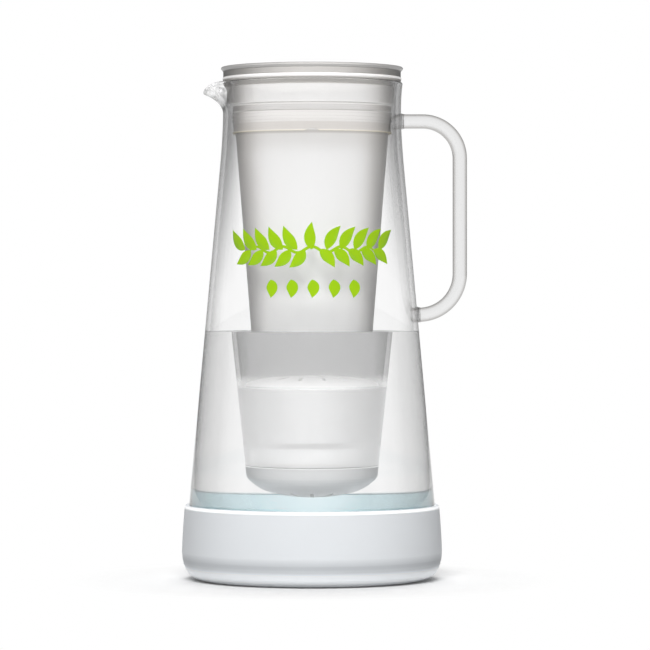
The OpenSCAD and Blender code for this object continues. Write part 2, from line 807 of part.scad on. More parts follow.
module inlet_felt() {
    felt(media_floor_z + 4 * media_gap + media_h + felt_t);
}

module carbon_cover() {
    rim = carbon_neck_r - carbon_wall - 0.1;
    color("white")
        difference() {
            union() {
                translate([0, 0, cover_z]) cylinder(r = rim, h = cover_t);
                ring(rim, rim - 1.4, cover_z, carbon_top_z - cover_z);
            }
            for (row = [1:3])
                for (i = [0:6 * row - 1])
                    rotate([0, 0, i * 60 / row]) translate([row * 5.5, 0, cover_z - 1])
                        cylinder(d = 2.4, h = cover_t + 2, $fn = 24);
        }
}

// ---------------------------------------------------------------- lid and flap

// The flap's outline, grown by a distance: a round end, two straight sides and a straight back
module flap_outline(grow, back) {
    r = flap_r + grow;
    difference() {
        translate([flap_centre_x, 0]) circle(r = r);
        translate([flap_centre_x - far, -r - 1]) square([far, 2 * r + 2]);
    }
    translate([back, -r]) square([flap_centre_x - back, 2 * r]);
}

module tab_outline(grow) {
    translate([flap_centre_x + flap_r + tab_reach - tab_r, 0]) circle(r = tab_r + grow);
}

module lid_body() {
    nose = lid_edge_t / 2;
    rotate_extrude()
        polygon(concat(
            [[0, plate_z], [skirt_r - lid_wall, plate_z], [skirt_r - lid_wall, plug_z],
                [skirt_r, plug_z], [skirt_r, plate_z], [lid_neck_r - lid_wall, plate_z],
                [lid_neck_r - lid_wall, flange_top_z], [lid_neck_r, flange_top_z],
                [lid_neck_r, plate_z]],
            arc(lid_r - nose, lid_top_z - nose, nose, -60, 90),
            [[0, lid_top_z]]));
    for (i = [0:rib_count - 1])
        rotate([0, 0, 360 * i / rib_count])
            translate([skirt_r - 0.2, -0.6, flange_top_z + 0.6])
                cube([lid_neck_r - lid_wall - skirt_r + 0.4, 1.2, lid_neck_h]);
}

// The wall and ledge under the plate that frame the opening
module opening_frame() {
    translate([0, 0, ledge_z - ledge_t])
        linear_extrude(plate_z - ledge_z + ledge_t + 0.5)
            difference() {
                flap_outline(flap_gap + lid_wall, hinge_x - hinge_pocket - lid_wall);
                flap_outline(-ledge_w, opening_back_x);
            }
}

// The closed trough under the knuckles, grown outwards by a wall
module hinge_trough(wall) {
    y = flap_r + flap_gap + wall;
    bottom = hinge_z - knuckle_r - flap_gap - (wall > 0 ? trough_t : 0);
    translate([hinge_x - hinge_pocket - wall, -y, bottom])
        cube([notch_x - hinge_x + hinge_pocket + 2 * wall, 2 * y,
            (wall > 0 ? plate_z + 0.5 : lid_top_z + 5) - bottom]);
}

// The two scoops share one centre, so the dish under the plate keeps an even wall
module scoop(grow) {
    translate([scoop_x, 0, lid_top_z + scoop_r - scoop_depth]) sphere(r = scoop_r + grow);
}

// A lug on the lid that holds the pin, round in front so that the flap's edge swings past it
module hinge_boss(y, w) {
    translate([hinge_x - hinge_pocket - lid_wall, y, hinge_z - knuckle_r])
        cube([hinge_pocket + lid_wall, w, knuckle_r + flap_t]);
    translate([hinge_x, y, hinge_z]) rotate([-90, 0, 0]) cylinder(r = knuckle_r, h = w);
}

module lid_frame() {
    side = flap_r + flap_gap;
    color([0.95, 0.95, 0.95])
        difference() {
            union() {
                difference() {
                    union() {
                        lid_body();
                        opening_frame();
                        hinge_trough(lid_wall);
                        intersection() {
                            scoop(lid_wall);
                            translate([0, 0, plate_z - scoop_room])
                                cylinder(r = skirt_r, h = scoop_room + 1);
                        }
                    }
                    translate([0, 0, ledge_z]) linear_extrude(far) {
                        flap_outline(flap_gap, hinge_x - hinge_pocket);
                        tab_outline(flap_gap);
                    }
                    translate([0, 0, plug_z]) linear_extrude(far)
                        flap_outline(-ledge_w, opening_back_x);
                    hinge_trough(0);
                    scoop(0);
                }
                hinge_boss(-knuckle_y + flap_gap, 2 * (knuckle_y - flap_gap));
                for (end = [-1, 1])
                    translate([0, end * (knuckle_y + knuckle_l + flap_gap), 0])
                        mirror([0, end < 0 ? 1 : 0, 0])
                            hinge_boss(0, side + 1 - knuckle_y - knuckle_l - flap_gap);
            }
            translate([hinge_x, 0, hinge_z]) rotate([90, 0, 0])
                cylinder(r = pin_r, h = 2 * side, center = true);
            ring(skirt_r + 1, skirt_r - 0.8, lid_seal_z, lid_seal_h);
        }
}

module lid_seal() {
    color([0.88, 0.88, 0.86]) {
        ring(skirt_r + 0.1, skirt_r - 0.8, lid_seal_z, lid_seal_h);
        for (z = [lid_seal_z + 0.3, lid_seal_z + lid_seal_h - 0.9])
            ring(plug_bore_r - 0.2, skirt_r - 0.8, z, 0.6);
    }
}

module hinge_pin() {
    color([0.75, 0.76, 0.78])
        translate([hinge_x, 0, hinge_z]) rotate([90, 0, 0])
            cylinder(r = pin_r, h = 2 * (flap_r + flap_gap), center = true);
}

module fill_flap() {
    color([0.96, 0.96, 0.96])
        difference() {
            union() {
                translate([0, 0, flap_z]) linear_extrude(flap_t) {
                    flap_outline(0, notch_x);
                    tab_outline(0);
                    for (end = [-1, 1])
                        translate([hinge_x, end * (knuckle_y + knuckle_l / 2)])
                            translate([0, -knuckle_l / 2]) square([notch_x - hinge_x + 1, knuckle_l]);
                }
                for (end = [-1, 1])
                    translate([hinge_x, end * (knuckle_y + knuckle_l / 2), hinge_z])
                        rotate([90, 0, 0]) cylinder(r = knuckle_r, h = knuckle_l, center = true);
                translate([0, 0, flap_z - rib_h]) linear_extrude(rib_h + 0.1)
                    difference() {
                        flap_outline(-ledge_w - flap_gap, opening_back_x + flap_gap);
                        flap_outline(-ledge_w - flap_gap - rib_t, opening_back_x + flap_gap + rib_t);
                    }
            }
            translate([hinge_x, 0, hinge_z]) rotate([90, 0, 0])
                cylinder(r = pin_r + pin_gap, h = 4 * flap_r, center = true);
        }
}

silicone_boot();
glass_jug();
glass_handle();
hopper();
seal_band();
membrane_housing();
membrane_cap();
inlet_screen();
hollow_fibres();
potting_disc();
spigot_o_rings();
carbon_cup();
outlet_felt();
carbon_bed();
middle_felt();
resin_bed();
inlet_felt();
carbon_cover();
carbon_o_ring();
lid_frame();
lid_seal();
hinge_pin();
fill_flap();
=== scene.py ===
# %% [markdown]
# # A water filter pitcher
#
# The real pitcher is a tapered glass jug with a fused glass handle and a pulled spout. It stands in
# a silicone boot, and a frosted hopper with two filter cartridges hangs from its rim under a lid.
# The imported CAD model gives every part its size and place. This lesson loads it, builds the pieces
# that need smooth glass or water as numpy surfaces, and gives each surface its material.

import math

import bmesh
import bpy
import mathutils
import numpy as np
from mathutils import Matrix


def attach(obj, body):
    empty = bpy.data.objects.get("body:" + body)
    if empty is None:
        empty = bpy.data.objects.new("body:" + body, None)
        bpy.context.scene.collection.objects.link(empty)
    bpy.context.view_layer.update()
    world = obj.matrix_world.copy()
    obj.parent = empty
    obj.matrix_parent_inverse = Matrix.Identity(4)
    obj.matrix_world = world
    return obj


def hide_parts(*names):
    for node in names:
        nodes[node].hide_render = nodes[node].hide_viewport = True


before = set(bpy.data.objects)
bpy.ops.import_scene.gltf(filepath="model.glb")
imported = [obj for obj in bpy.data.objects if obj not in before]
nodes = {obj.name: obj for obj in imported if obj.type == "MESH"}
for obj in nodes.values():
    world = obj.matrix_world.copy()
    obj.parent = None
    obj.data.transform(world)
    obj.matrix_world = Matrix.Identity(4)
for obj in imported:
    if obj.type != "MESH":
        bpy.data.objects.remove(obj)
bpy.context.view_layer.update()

# %% [markdown]
# ## Curves
#
# Glass is drawn and blown, so its outlines are slow curves. A Bezier curve gives such an outline
# from three points: it leaves the first towards the second and arrives at the third. A circle's arc
# gives the rounded corners. Both come out as arrays of (radius, height) points.

# %% Curves as arrays of points
MM = 0.001


def bend(a, b, c, count):
    """Points from a to c on a quadratic Bezier curve: a, b and c weighted by the squares and the
    doubled product of how far along the point is."""
    t = np.linspace(0, 1, count)[:, None]
    return (1 - t) ** 2 * np.array(a) + 2 * t * (1 - t) * np.array(b) + t**2 * np.array(c)


def arc(centre, radii, start, end, count):
    """Points on an ellipse's arc: the centre plus the radii times cosine and sine of the angle."""
    angle = np.radians(np.linspace(start, end, count))
    return np.array(centre) + np.stack([np.cos(angle), np.sin(angle)], axis=1) * np.array(radii)


# %% [markdown]
# ## From a grid of points to a mesh
#
# Every new piece here is a grid: rows along an outline and columns round the axis, or rows along a
# path and columns round a section. Joining each point with its neighbours gives the faces. Working
# with whole arrays keeps this fast and exact. A row that is a single point, such as the middle of
# a floor, is closed by merging its doubles, and the sign of the volume shows whether the faces
# point outwards.

# %% A closed surface from a grid
SHARP_ANGLE = math.radians(50)


def lay_surface(name, grid):
    """A mesh object from points[row, column]. Columns close up into rings, the first and last rows
    are single points or meet, and each face joins two neighbours of one row with two of the next."""
    rows, columns = grid.shape[:2]
    first = np.arange(rows * columns).reshape(rows, columns)
    beside = np.roll(first, -1, axis=1)
    quads = np.stack([first[:-1], beside[:-1], beside[1:], first[1:]], axis=-1).reshape(-1, 4)
    points = grid.reshape(-1, 3)
    corners = points[quads]
    halves = np.concatenate([corners[:, [0, 1, 2]], corners[:, [0, 2, 3]]])
    volume = np.einsum("ij,ij->", halves[:, 0], np.cross(halves[:, 1], halves[:, 2])) / 6
    if volume < 0:
        quads = quads[:, ::-1]
    mesh = bpy.data.meshes.new(name)
    mesh.from_pydata(points.tolist(), [], quads.tolist())
    cleaner = bmesh.new()
    cleaner.from_mesh(mesh)
    bmesh.ops.remove_doubles(cleaner, verts=cleaner.verts, dist=1e-7)
    cleaner.to_mesh(mesh)
    cleaner.free()
    mesh.shade_smooth()
    mesh.set_sharp_from_angle(angle=SHARP_ANGLE)
    piece = bpy.data.objects.new(name, mesh)
    bpy.context.scene.collection.objects.link(piece)
    print(f"{name}: {len(mesh.polygons)} faces, {abs(volume) * 1e6:.1f} ml inside")
    return piece


# %% [markdown]
# ## The jug
#
# The jug is one glass wall: a straight foot with a rounded corner, a long cone, and a neck that
# flares a little to the rim. The outside and inside outlines are worked out here once, because the
# water and the printed garland lie against them.

# %% The outlines of the glass
FOOT_R, FOOT_Z = 65.3 * MM, 4 * MM
CORNER_R = 12 * MM
BOOT_H = 39.7 * MM
SHOULDER_R, SHOULDER_Z = 48.9 * MM, 219 * MM
NECK_Z = 250 * MM
RIM_R, RIM_Z = 48.3 * MM, 264 * MM
WALL = 2.5 * MM
FLOOR_Z, HEEL_Z, HEEL_FLAT_R = 10 * MM, 50 * MM, 38 * MM
PUNT_R, PUNT_SLOPE, PUNT_H = 41.3 * MM, 4 * MM, 1.2 * MM


def cone_r(z):
    """The cone's outside radius: a straight line between the foot's and the shoulder's."""
    return FOOT_R + (SHOULDER_R - FOOT_R) * (z - BOOT_H) / (SHOULDER_Z - BOOT_H)


neck_curve = bend((SHOULDER_R, SHOULDER_Z), (cone_r(NECK_Z), NECK_Z), (RIM_R, RIM_Z), 200)


def glass_r(z):
    """The outside radius at a height from the boot's lip to the rim: the cone, then the neck."""
    return np.where(z < SHOULDER_Z, cone_r(z), np.interp(z, neck_curve[:, 1], neck_curve[:, 0]))


print("radius under the rim:", round(float(glass_r(RIM_Z)), 5))

# %% [markdown]
# ## The spout
#
# A glassblower warms the rim and pulls it outwards with a tool, so the spout is the same wall,
# stretched: most at its middle, and fading away to both sides. That makes it a formula of height
# and angle that is added to the plain radius. The rim droops along a round line towards the tip,
# and its edge is melted round.

# %% The pull of the spout
SPOUT_ROOT_Z = RIM_Z - 18 * MM
SPOUT_HALF_ANGLE = math.radians(25)
SPOUT_SINK = 0.6 * MM
SPOUT_BLEND = 0.5 * MM
SPOUT_WALL = 2.2 * MM
LIP_X, LIP_Z, LIP_ROUND = -47.3 * MM, 250.5 * MM, 13.5 * MM
PULL_TIP, PULL_TIP_Z = 11.8 * MM, 258.04 * MM
PULL_BEND_OUT, PULL_BEND_UP, TIP_LIFT = 0.9 * MM, 8.5 * MM, 1.2
EDGE = 0.9 * MM


def pull(z, inset):
    """How far the wall is pulled out at a height: a curve that starts upwards at the root and ends
    outwards at the tip. The inside of the glass follows the same curve, raised by the inset."""
    curve = bend((0, SPOUT_ROOT_Z + inset / 2),
                 (PULL_BEND_OUT, SPOUT_ROOT_Z + PULL_BEND_UP + inset),
                 (PULL_TIP, PULL_TIP_Z + TIP_LIFT * inset), 200)
    return np.interp(z, curve[:, 1], curve[:, 0])


def pulled_r(z, share, inset):
    """The wall's radius at a height and a share of the pull: the plain radius less the inset, plus
    the pull where it stands proud, with a soft turn between the two."""
    plain = glass_r(z) - (WALL if inset else 0)
    sunk = SPOUT_SINK + inset - (WALL if inset else 0)
    proud = pull(z, inset) * share - sunk
    start = (np.sqrt(sunk**2 + SPOUT_BLEND**2) - sunk) / 2
    return plain + (proud + np.sqrt(proud**2 + SPOUT_BLEND**2)) / 2 - start


def lip_height(x):
    """The height of the rim over a place along X: level, then down a circle's arc to the tip."""
    beyond = np.clip(LIP_X - x, 0, LIP_ROUND)
    return LIP_Z + np.sqrt(LIP_ROUND**2 - beyond**2)


def wall_top(angle, share, inset):
    """The height where the pulled wall meets the drooping rim, for every column: the lowest of
    many heights at which the wall has risen past the rim line."""
    z = np.linspace(SPOUT_ROOT_Z, RIM_Z, 400)[:, None]
    x = -pulled_r(z, share, inset) * np.cos(angle)
    return z[np.argmax(z >= lip_height(x) - 1e-9, axis=0), 0] - EDGE


print("pull at the rim:", round(float(pull(RIM_Z, 0)) / MM, 1), "mm")

# %% The jug as one grid
FINE_COLUMNS, PLAIN_COLUMNS = 73, 150
SPOUT_ROWS, EDGE_ROWS = 34, 11
spout_angle = np.concatenate([
    np.linspace(-30, 30, FINE_COLUMNS), np.linspace(30, 330, PLAIN_COLUMNS)[1:-1]])
spout_angle = np.radians(spout_angle)
near = np.abs(spout_angle) < SPOUT_HALF_ANGLE
share = np.where(near, np.cos(np.pi / 2 * spout_angle / SPOUT_HALF_ANGLE) ** 2, 0)


def level_rows(outline):
    """Rows that are the same at every angle, from (radius, height) points."""
    return np.repeat(np.asarray(outline)[:, None, :], len(spout_angle), axis=1)


def wall_rows(heights, inset):
    """Rows of the plain wall at these heights, moved inwards by the inset."""
    return level_rows(np.stack([glass_r(heights) - inset, heights], axis=1))


def spout_rows(inset):
    """Rows from the spout's root to the rim: at each column the heights run evenly up to the
    drooping rim, and the radius follows the pull."""
    top = wall_top(spout_angle, share, inset)
    z = SPOUT_ROOT_Z + np.linspace(0, 1, SPOUT_ROWS)[:, None] * (top - SPOUT_ROOT_Z)
    return np.stack([pulled_r(z, share, inset), z], axis=-1)


def edge_rows(outside, inside):
    """A melted edge: half an ellipse from the outside point to the inside one, which stands out
    at a right angle to the line between them."""
    middle, half = (outside + inside) / 2, (outside - inside) / 2
    away = np.stack([-half[:, 1], half[:, 0]], axis=1)
    away *= EDGE / np.linalg.norm(away, axis=1)[:, None]
    turn = np.linspace(0, np.pi, EDGE_ROWS)[1:-1, None, None]
    return middle + half * np.cos(turn) + away * np.sin(turn)


cone_heights = np.linspace(HEEL_Z, SHOULDER_Z, 16)
neck_heights = np.linspace(SHOULDER_Z, SPOUT_ROOT_Z, 9)[1:-1]
heel = arc((HEEL_FLAT_R, HEEL_Z), (cone_r(HEEL_Z) - WALL - HEEL_FLAT_R, HEEL_Z - FLOOR_Z), -90, 0, 20)
outside_rows = spout_rows(0)
inside_rows = spout_rows(SPOUT_WALL)
profile = np.concatenate([
    level_rows([(0, FOOT_Z + PUNT_H), (PUNT_R - PUNT_SLOPE, FOOT_Z + PUNT_H), (PUNT_R, FOOT_Z)]),
    level_rows(arc((FOOT_R - CORNER_R, FOOT_Z + CORNER_R), (CORNER_R, CORNER_R), -90, 0, 14)),
    level_rows([(FOOT_R, BOOT_H)]),
    wall_rows(cone_heights, 0), wall_rows(neck_heights, 0), outside_rows,
    edge_rows(outside_rows[-1], inside_rows[-1]),
    inside_rows[::-1], wall_rows(neck_heights[::-1], WALL), wall_rows(cone_heights[:0:-1], WALL),
    level_rows(heel[::-1]), level_rows([(0, FLOOR_Z)])])
radius, height = profile[..., 0], profile[..., 1]
jug = lay_surface("jug_wall", np.stack(
    [-radius * np.cos(spout_angle), radius * np.sin(spout_angle), height], axis=-1))
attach(jug, "jug")
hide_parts("glass_jug")

# %% [markdown]
# ## The handle
#
# The handle is a flattened glass rod, bent hot and fused to the wall at both ends. A section that is
# carried along a path makes it: each row of the grid is the section at one point of the path, turned
# to stand across it. Near its ends the rod swells a little where the hot glass spread.

# %% A section carried along a path


def carry_section(name, path, across, half_width, half_depth, power=2.0, columns=40):
    """A closed rod. At each path point the section is a superellipse: its width runs along the
    direction that is at right angles to the path and to across, its depth along across. The power
    sets how square the section is, and the two end rows shrink to the path's end points."""
    along = np.gradient(path, axis=0)
    along /= np.linalg.norm(along, axis=1)[:, None]
    side = np.cross(along, across)
    side /= np.linalg.norm(side, axis=1)[:, None]
    turn = np.linspace(0, 2 * np.pi, columns, endpoint=False)
    u = np.sign(np.cos(turn)) * np.abs(np.cos(turn)) ** (2 / power)
    v = np.sign(np.sin(turn)) * np.abs(np.sin(turn)) ** (2 / power)
    grid = (path[:, None] + side[:, None] * (half_width[:, None] * u)[..., None]
            + across[:, None] * (half_depth[:, None] * v)[..., None])
    caps = np.repeat(path[[0, -1]][:, None], columns, axis=1)
    return lay_surface(name, np.concatenate([caps[:1], grid, caps[1:]]))


# %% The handle
HANDLE_X, HANDLE_T, HANDLE_W = 78.6 * MM, 7.6 * MM, 12 * MM
UPPER_Z, LOWER_Z = 243.3 * MM, 140.5 * MM
UPPER_BEND, LOWER_BEND = 19.7 * MM, 21.8 * MM
SUNK_IN_WALL = 0.7 * MM
FLARE, FLARE_LENGTH = 0.16, 1.6 * MM
HANDLE_SQUARENESS = 2.3


def handle_line():
    """The rod's middle line in the XZ plane: a level limb, a quarter bend, the upright, a second
    bend and the lower limb, with points about every millimetre and a half."""
    upper_start = float(glass_r(UPPER_Z)) - SUNK_IN_WALL
    lower_end = float(glass_r(LOWER_Z)) - SUNK_IN_WALL
    upper_centre = (HANDLE_X - UPPER_BEND, UPPER_Z - UPPER_BEND)
    lower_centre = (HANDLE_X - LOWER_BEND, LOWER_Z + LOWER_BEND)
    upper_limb = np.linspace((upper_start, UPPER_Z), (upper_centre[0], UPPER_Z), 14)[:-1]
    upright = np.linspace((HANDLE_X, upper_centre[1]), (HANDLE_X, lower_centre[1]), 40)[1:-1]
    lower_limb = np.linspace((lower_centre[0], LOWER_Z), (lower_end, LOWER_Z), 8)[1:]
    flat = np.concatenate([
        upper_limb, arc(upper_centre, (UPPER_BEND, UPPER_BEND), 90, 0, 24), upright,
        arc(lower_centre, (LOWER_BEND, LOWER_BEND), 0, -90, 26), lower_limb])
    return np.stack([flat[:, 0], np.zeros(len(flat)), flat[:, 1]], axis=1)


rod = handle_line()
steps = np.linalg.norm(np.diff(rod, axis=0), axis=1)
travelled = np.concatenate([[0], np.cumsum(steps)])
to_end = np.minimum(travelled, travelled[-1] - travelled)
swell = 1 + FLARE * np.exp(-(to_end / FLARE_LENGTH) ** 2)
handle = carry_section("handle_rod", rod, np.tile([0.0, 1.0, 0.0], (len(rod), 1)),
                       HANDLE_T / 2 * swell, HANDLE_W / 2 * swell, HANDLE_SQUARENESS, 48)
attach(handle, "jug")
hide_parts("glass_handle")
print("handle rod length:", round(float(travelled[-1]) * 1000), "mm")

# %% [markdown]
# ## The water
#
# The jug holds filtered water up to the lower third of the hopper. Light bends once between glass
# and water, not twice, so the water's skin lies a little inside the glass instead of leaving an
# air gap. Its top is level and creeps up at the wall.

# %% The filtered water
WATER_Z = 131.5 * MM
WATER_SINK = 0.8 * MM
MENISCUS_H, MENISCUS_W = 0.4 * MM, 0.9 * MM
surface_r = float(glass_r(WATER_Z)) - WALL
top_r = np.append((surface_r + WATER_SINK) * (1 - np.linspace(0, 1, 40) ** 2)[:-1], 0)
creep = MENISCUS_H * np.exp(np.minimum(top_r - surface_r, 0) / MENISCUS_W)
wet_heights = np.linspace(HEEL_Z, WATER_Z + MENISCUS_H, 20)
wet_outline = np.concatenate([
    [(0, FLOOR_Z - WATER_SINK)],
    heel + np.stack([np.linspace(0, 1, 20), np.linspace(-1, 0, 20)], axis=1) * WATER_SINK,
    np.stack([glass_r(wet_heights) - WALL + WATER_SINK, wet_heights], axis=1)[1:],
    np.stack([top_r, WATER_Z + creep], axis=1)[1:]])
ROUND = np.linspace(0, 2 * np.pi, 192, endpoint=False)
water = lay_surface("filtered_water", np.stack([
    wet_outline[:, :1] * np.cos(ROUND), wet_outline[:, :1] * np.sin(ROUND),
    np.repeat(wet_outline[:, 1:], len(ROUND), axis=1)], axis=-1))
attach(water, "jug")

# %% [markdown]
# ## The printed garland
#
# Pitchers like this carry a print baked onto the front of the glass. Here it is a plain garland of
# leaves over five drops. Each stroke is a very flat section carried along a line that is drawn on
# the unrolled cone and then wrapped round it, so the print has the thickness of ink and follows the
# glass.

# %% Strokes on the cone
INK, INK_SUNK, THINNEST = 0.06 * MM, 0.3, 0.01 * MM
LEAF_BOW, LEAF_FULLNESS = 0.08, 0.8


def wrap(flat):
    """Points on the front of the cone from (distance along it, height): the distance divided by
    the radius is the angle from the front. Also the directions straight out of the glass."""
    r = glass_r(flat[:, 1])
    angle = flat[:, 0] / r
    out = np.stack([np.sin(angle), -np.cos(angle), np.zeros(len(flat))], axis=1)
    points = out * r[:, None]
    points[:, 2] = flat[:, 1]
    return points, out


def stroke(line, half_width):
    """A stroke's grid of points: the flat line wrapped on the cone, with a thin flat section whose
    half width is given at every point."""
    path, out = wrap(line)
    along = np.gradient(path, axis=0)
    along /= np.linalg.norm(along, axis=1)[:, None]
    side = np.cross(along, out)
    turn = np.linspace(0, 2 * np.pi, 8, endpoint=False)
    return (path[:, None] + side[:, None] * (half_width[:, None] * np.cos(turn))[..., None]
            + out[:, None] * (np.maximum(np.sin(turn), -INK_SUNK) * INK)[None, :, None])


def leaf(x, z, direction, length, width):
    """A leaf from (x, z) in a direction in degrees: a slightly bent line whose half width rises
    and falls as a sine, fuller near the stem."""
    t = np.linspace(0, 1, 15)
    a = math.radians(direction)
    bow = LEAF_BOW * length * np.sin(np.pi * t)
    line = np.stack([x + length * t * math.cos(a) - bow * math.sin(a),
                     z + length * t * math.sin(a) + bow * math.cos(a)], axis=1)
    return stroke(line, width / 2 * np.sin(np.pi * t**LEAF_FULLNESS) + THINNEST)


# %% The garland
STEM_HALF, STEM_Z, STEM_WAVE, STEM_T = 40 * MM, 174.5 * MM, 1.6 * MM, 1.5 * MM
LEAF_L, LEAF_W, LEAF_STEP = 14.5 * MM, 6 * MM, 7.6 * MM
LEAN, LEAN_STEP, LOWER_LEAN, LOWER_SHARE = 62, 3, 10, 0.85
DROP_L, DROP_W, DROP_STEP, DROP_Z = 9.5 * MM, 6.2 * MM, 11 * MM, 149.5 * MM
stem_x = np.linspace(-STEM_HALF, STEM_HALF, 90)
stem = np.stack([stem_x, STEM_Z + STEM_WAVE * np.cos(stem_x / LEAF_STEP * np.pi)], axis=1)
stem_width = STEM_T / 2 * (1 - np.abs(stem_x / STEM_HALF) ** 6) + THINNEST
strokes = [stroke(stem, stem_width)]
for i in range(6):
    for direction in ((1, -1) if i else (1,)):
        lean = 90 if i == 0 else LEAN - LEAN_STEP * i
        x = direction * i * LEAF_STEP
        strokes.append(leaf(x, STEM_Z, 90 + direction * (lean - 90), LEAF_L, LEAF_W))
        if i:
            strokes.append(leaf(x - direction * LEAF_STEP / 2, STEM_Z,
                                -90 + direction * (90 - lean + LOWER_LEAN),
                                LEAF_L * LOWER_SHARE, LEAF_W))
for i in range(-2, 3):
    strokes.append(leaf(i * DROP_STEP, DROP_Z + DROP_L, -90, DROP_L, DROP_W))
ink_parts = [lay_surface("ink", grid) for grid in strokes]
with bpy.context.temp_override(active_object=ink_parts[0], selected_editable_objects=ink_parts):
    bpy.ops.object.join()
garland = ink_parts[0]
garland.name = "printed_garland"
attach(garland, "jug")
print("garland:", len(garland.data.polygons), "faces")

# %% [markdown]
# ## Building materials
#
# A material is a small network of nodes. A few helpers keep the networks short: they add a node and
# fill its sockets, do a sum, mix or tint colours, and turn a number into a colour by a ramp.

# %% Helpers for shader nodes


def give(tree, socket, value):
    """Links another node's output to a socket, or sets the socket's plain value."""
    if isinstance(value, bpy.types.NodeSocket):
        tree.links.new(value, socket)
    else:
        socket.default_value = value


def add(tree, kind, settings=None, **inputs):
    """A node of a kind. Settings are its own options. Each input is a plain value or another
    node's output, and an underscore in its name stands for a space."""
    node = tree.nodes.new("ShaderNode" + kind)
    for key, value in (settings or {}).items():
        setattr(node, key, value)
    for key, value in inputs.items():
        give(tree, node.inputs[key.replace("_", " ")], value)
    return node


def sums(tree, operation, a, b):
    """The output of a Math node on two values or sockets."""
    node = add(tree, "Math", {"operation": operation})
    give(tree, node.inputs[0], a)
    give(tree, node.inputs[1], b)
    return node.outputs[0]


def mixed(tree, share, a, b, way="MIX"):
    """A colour between two colours, by a share from 0 to 1."""
    node = add(tree, "Mix", {"data_type": "RGBA", "blend_type": way})
    for index, value in ((0, share), (6, a), (7, b)):
        give(tree, node.inputs[index], value)
    return node.outputs[2]


def tinted(tree, colour, share, tint):
    """A colour multiplied by a tint, by a share from 0 to 1."""
    return mixed(tree, share, colour, tint, "MULTIPLY")


def ramp(tree, value, stops):
    """A colour from a number, by (place, colour) stops."""
    node = add(tree, "ValToRGB", Fac=value)
    marks = node.color_ramp.elements
    while len(marks) < len(stops):
        marks.new(0.5)
    for mark, (place, colour) in zip(marks, stops):
        mark.position = place
        mark.color = colour
    return node.outputs[0]


def grey(level, warmth=0.0):
    """A near-neutral colour: the level, a little more in red and less in blue where warm."""
    return (level * (1 + warmth), level, level * (1 - warmth), 1)


def axis_mask(tree, place, axis, low, high):
    """0 below one place along an axis of the object, 1 above another, and even between them."""
    along = add(tree, "SeparateXYZ", Vector=place).outputs[axis]
    return add(tree, "MapRange", Value=along, From_Min=low, From_Max=high).outputs[0]


def new_material(name):
    """A material with an empty network, its output node, and the object's own coordinates."""
    material = bpy.data.materials.new(name)
    material.use_nodes = True
    tree = material.node_tree
    tree.nodes.clear()
    place = add(tree, "TexCoord").outputs["Object"]
    return material, tree, place, add(tree, "OutputMaterial")


def paint_glow(tree, shader, light):
    """Gives a surface painted light: a glow of a colour that changes over it."""
    tree.links.new(light, shader.inputs["Emission Color"])
    shader.inputs["Emission Strength"].default_value = 1.0


print("a warm light grey:", [round(v, 3) for v in grey(0.9, 0.03)])

# %% [markdown]
# ## A skin for moulded parts
#
# Moulded plastic and silicone are never quite even: the mould's fine grain shows in the highlights,
# and the gloss changes slowly over a surface. Most of the parts need this, each at its own scale,
# so it is a node group that is built once.

# %% The moulded skin group
GRAIN_H, CELL_H = 0.3 * MM, 1 * MM


def new_group(name, inputs, outputs):
    """A shader node group with named sockets of these kinds, and its two ends."""
    group = bpy.data.node_groups.new(name, "ShaderNodeTree")
    for way, sockets in (("INPUT", inputs), ("OUTPUT", outputs)):
        for socket, kind in sockets.items():
            group.interface.new_socket(name=socket, in_out=way, socket_type="NodeSocket" + kind)
    given = group.nodes.new("NodeGroupInput").outputs
    return group, given, group.nodes.new("NodeGroupOutput").inputs


def make_skin_group():
    """Fine noise as a bump and slow noise as a mask and as roughness between two values."""
    numbers = ("Grain Scale", "Grain Depth", "Mottle Scale", "Rough Low", "Rough High")
    group, given, result = new_group(
        "moulded skin", {"Vector": "Vector", **dict.fromkeys(numbers, "Float")},
        {"Mottle": "Float", "Roughness": "Float", "Normal": "Vector"})
    grain = add(group, "TexNoise", Vector=given["Vector"], Scale=given["Grain Scale"], Detail=3.0)
    mottle = add(group, "TexNoise", Vector=given["Vector"], Scale=given["Mottle Scale"], Detail=2.0)
    spread = add(group, "MapRange", Value=mottle.outputs["Fac"], From_Min=0.3, From_Max=0.7)
    rough = add(group, "MapRange", Value=spread.outputs[0], To_Min=given["Rough Low"],
                To_Max=given["Rough High"])
    bump = add(group, "Bump", Height=grain.outputs["Fac"], Strength=given["Grain Depth"],
               Distance=GRAIN_H)
    group.links.new(spread.outputs[0], result["Mottle"])
    group.links.new(rough.outputs[0], result["Roughness"])
    group.links.new(bump.outputs[0], result["Normal"])
    return group


SKIN = make_skin_group()


def skin(tree, place, grain_scale, grain_depth, mottle_scale, rough_low, rough_high):
    """The skin group's outputs in a material, with the material's own values."""
    node = add(tree, "Group", {"node_tree": SKIN}, Vector=place, Grain_Scale=grain_scale,
               Grain_Depth=grain_depth, Mottle_Scale=mottle_scale, Rough_Low=rough_low,
               Rough_High=rough_high)
    return node.outputs


print("skin group:", len(SKIN.nodes), "nodes")
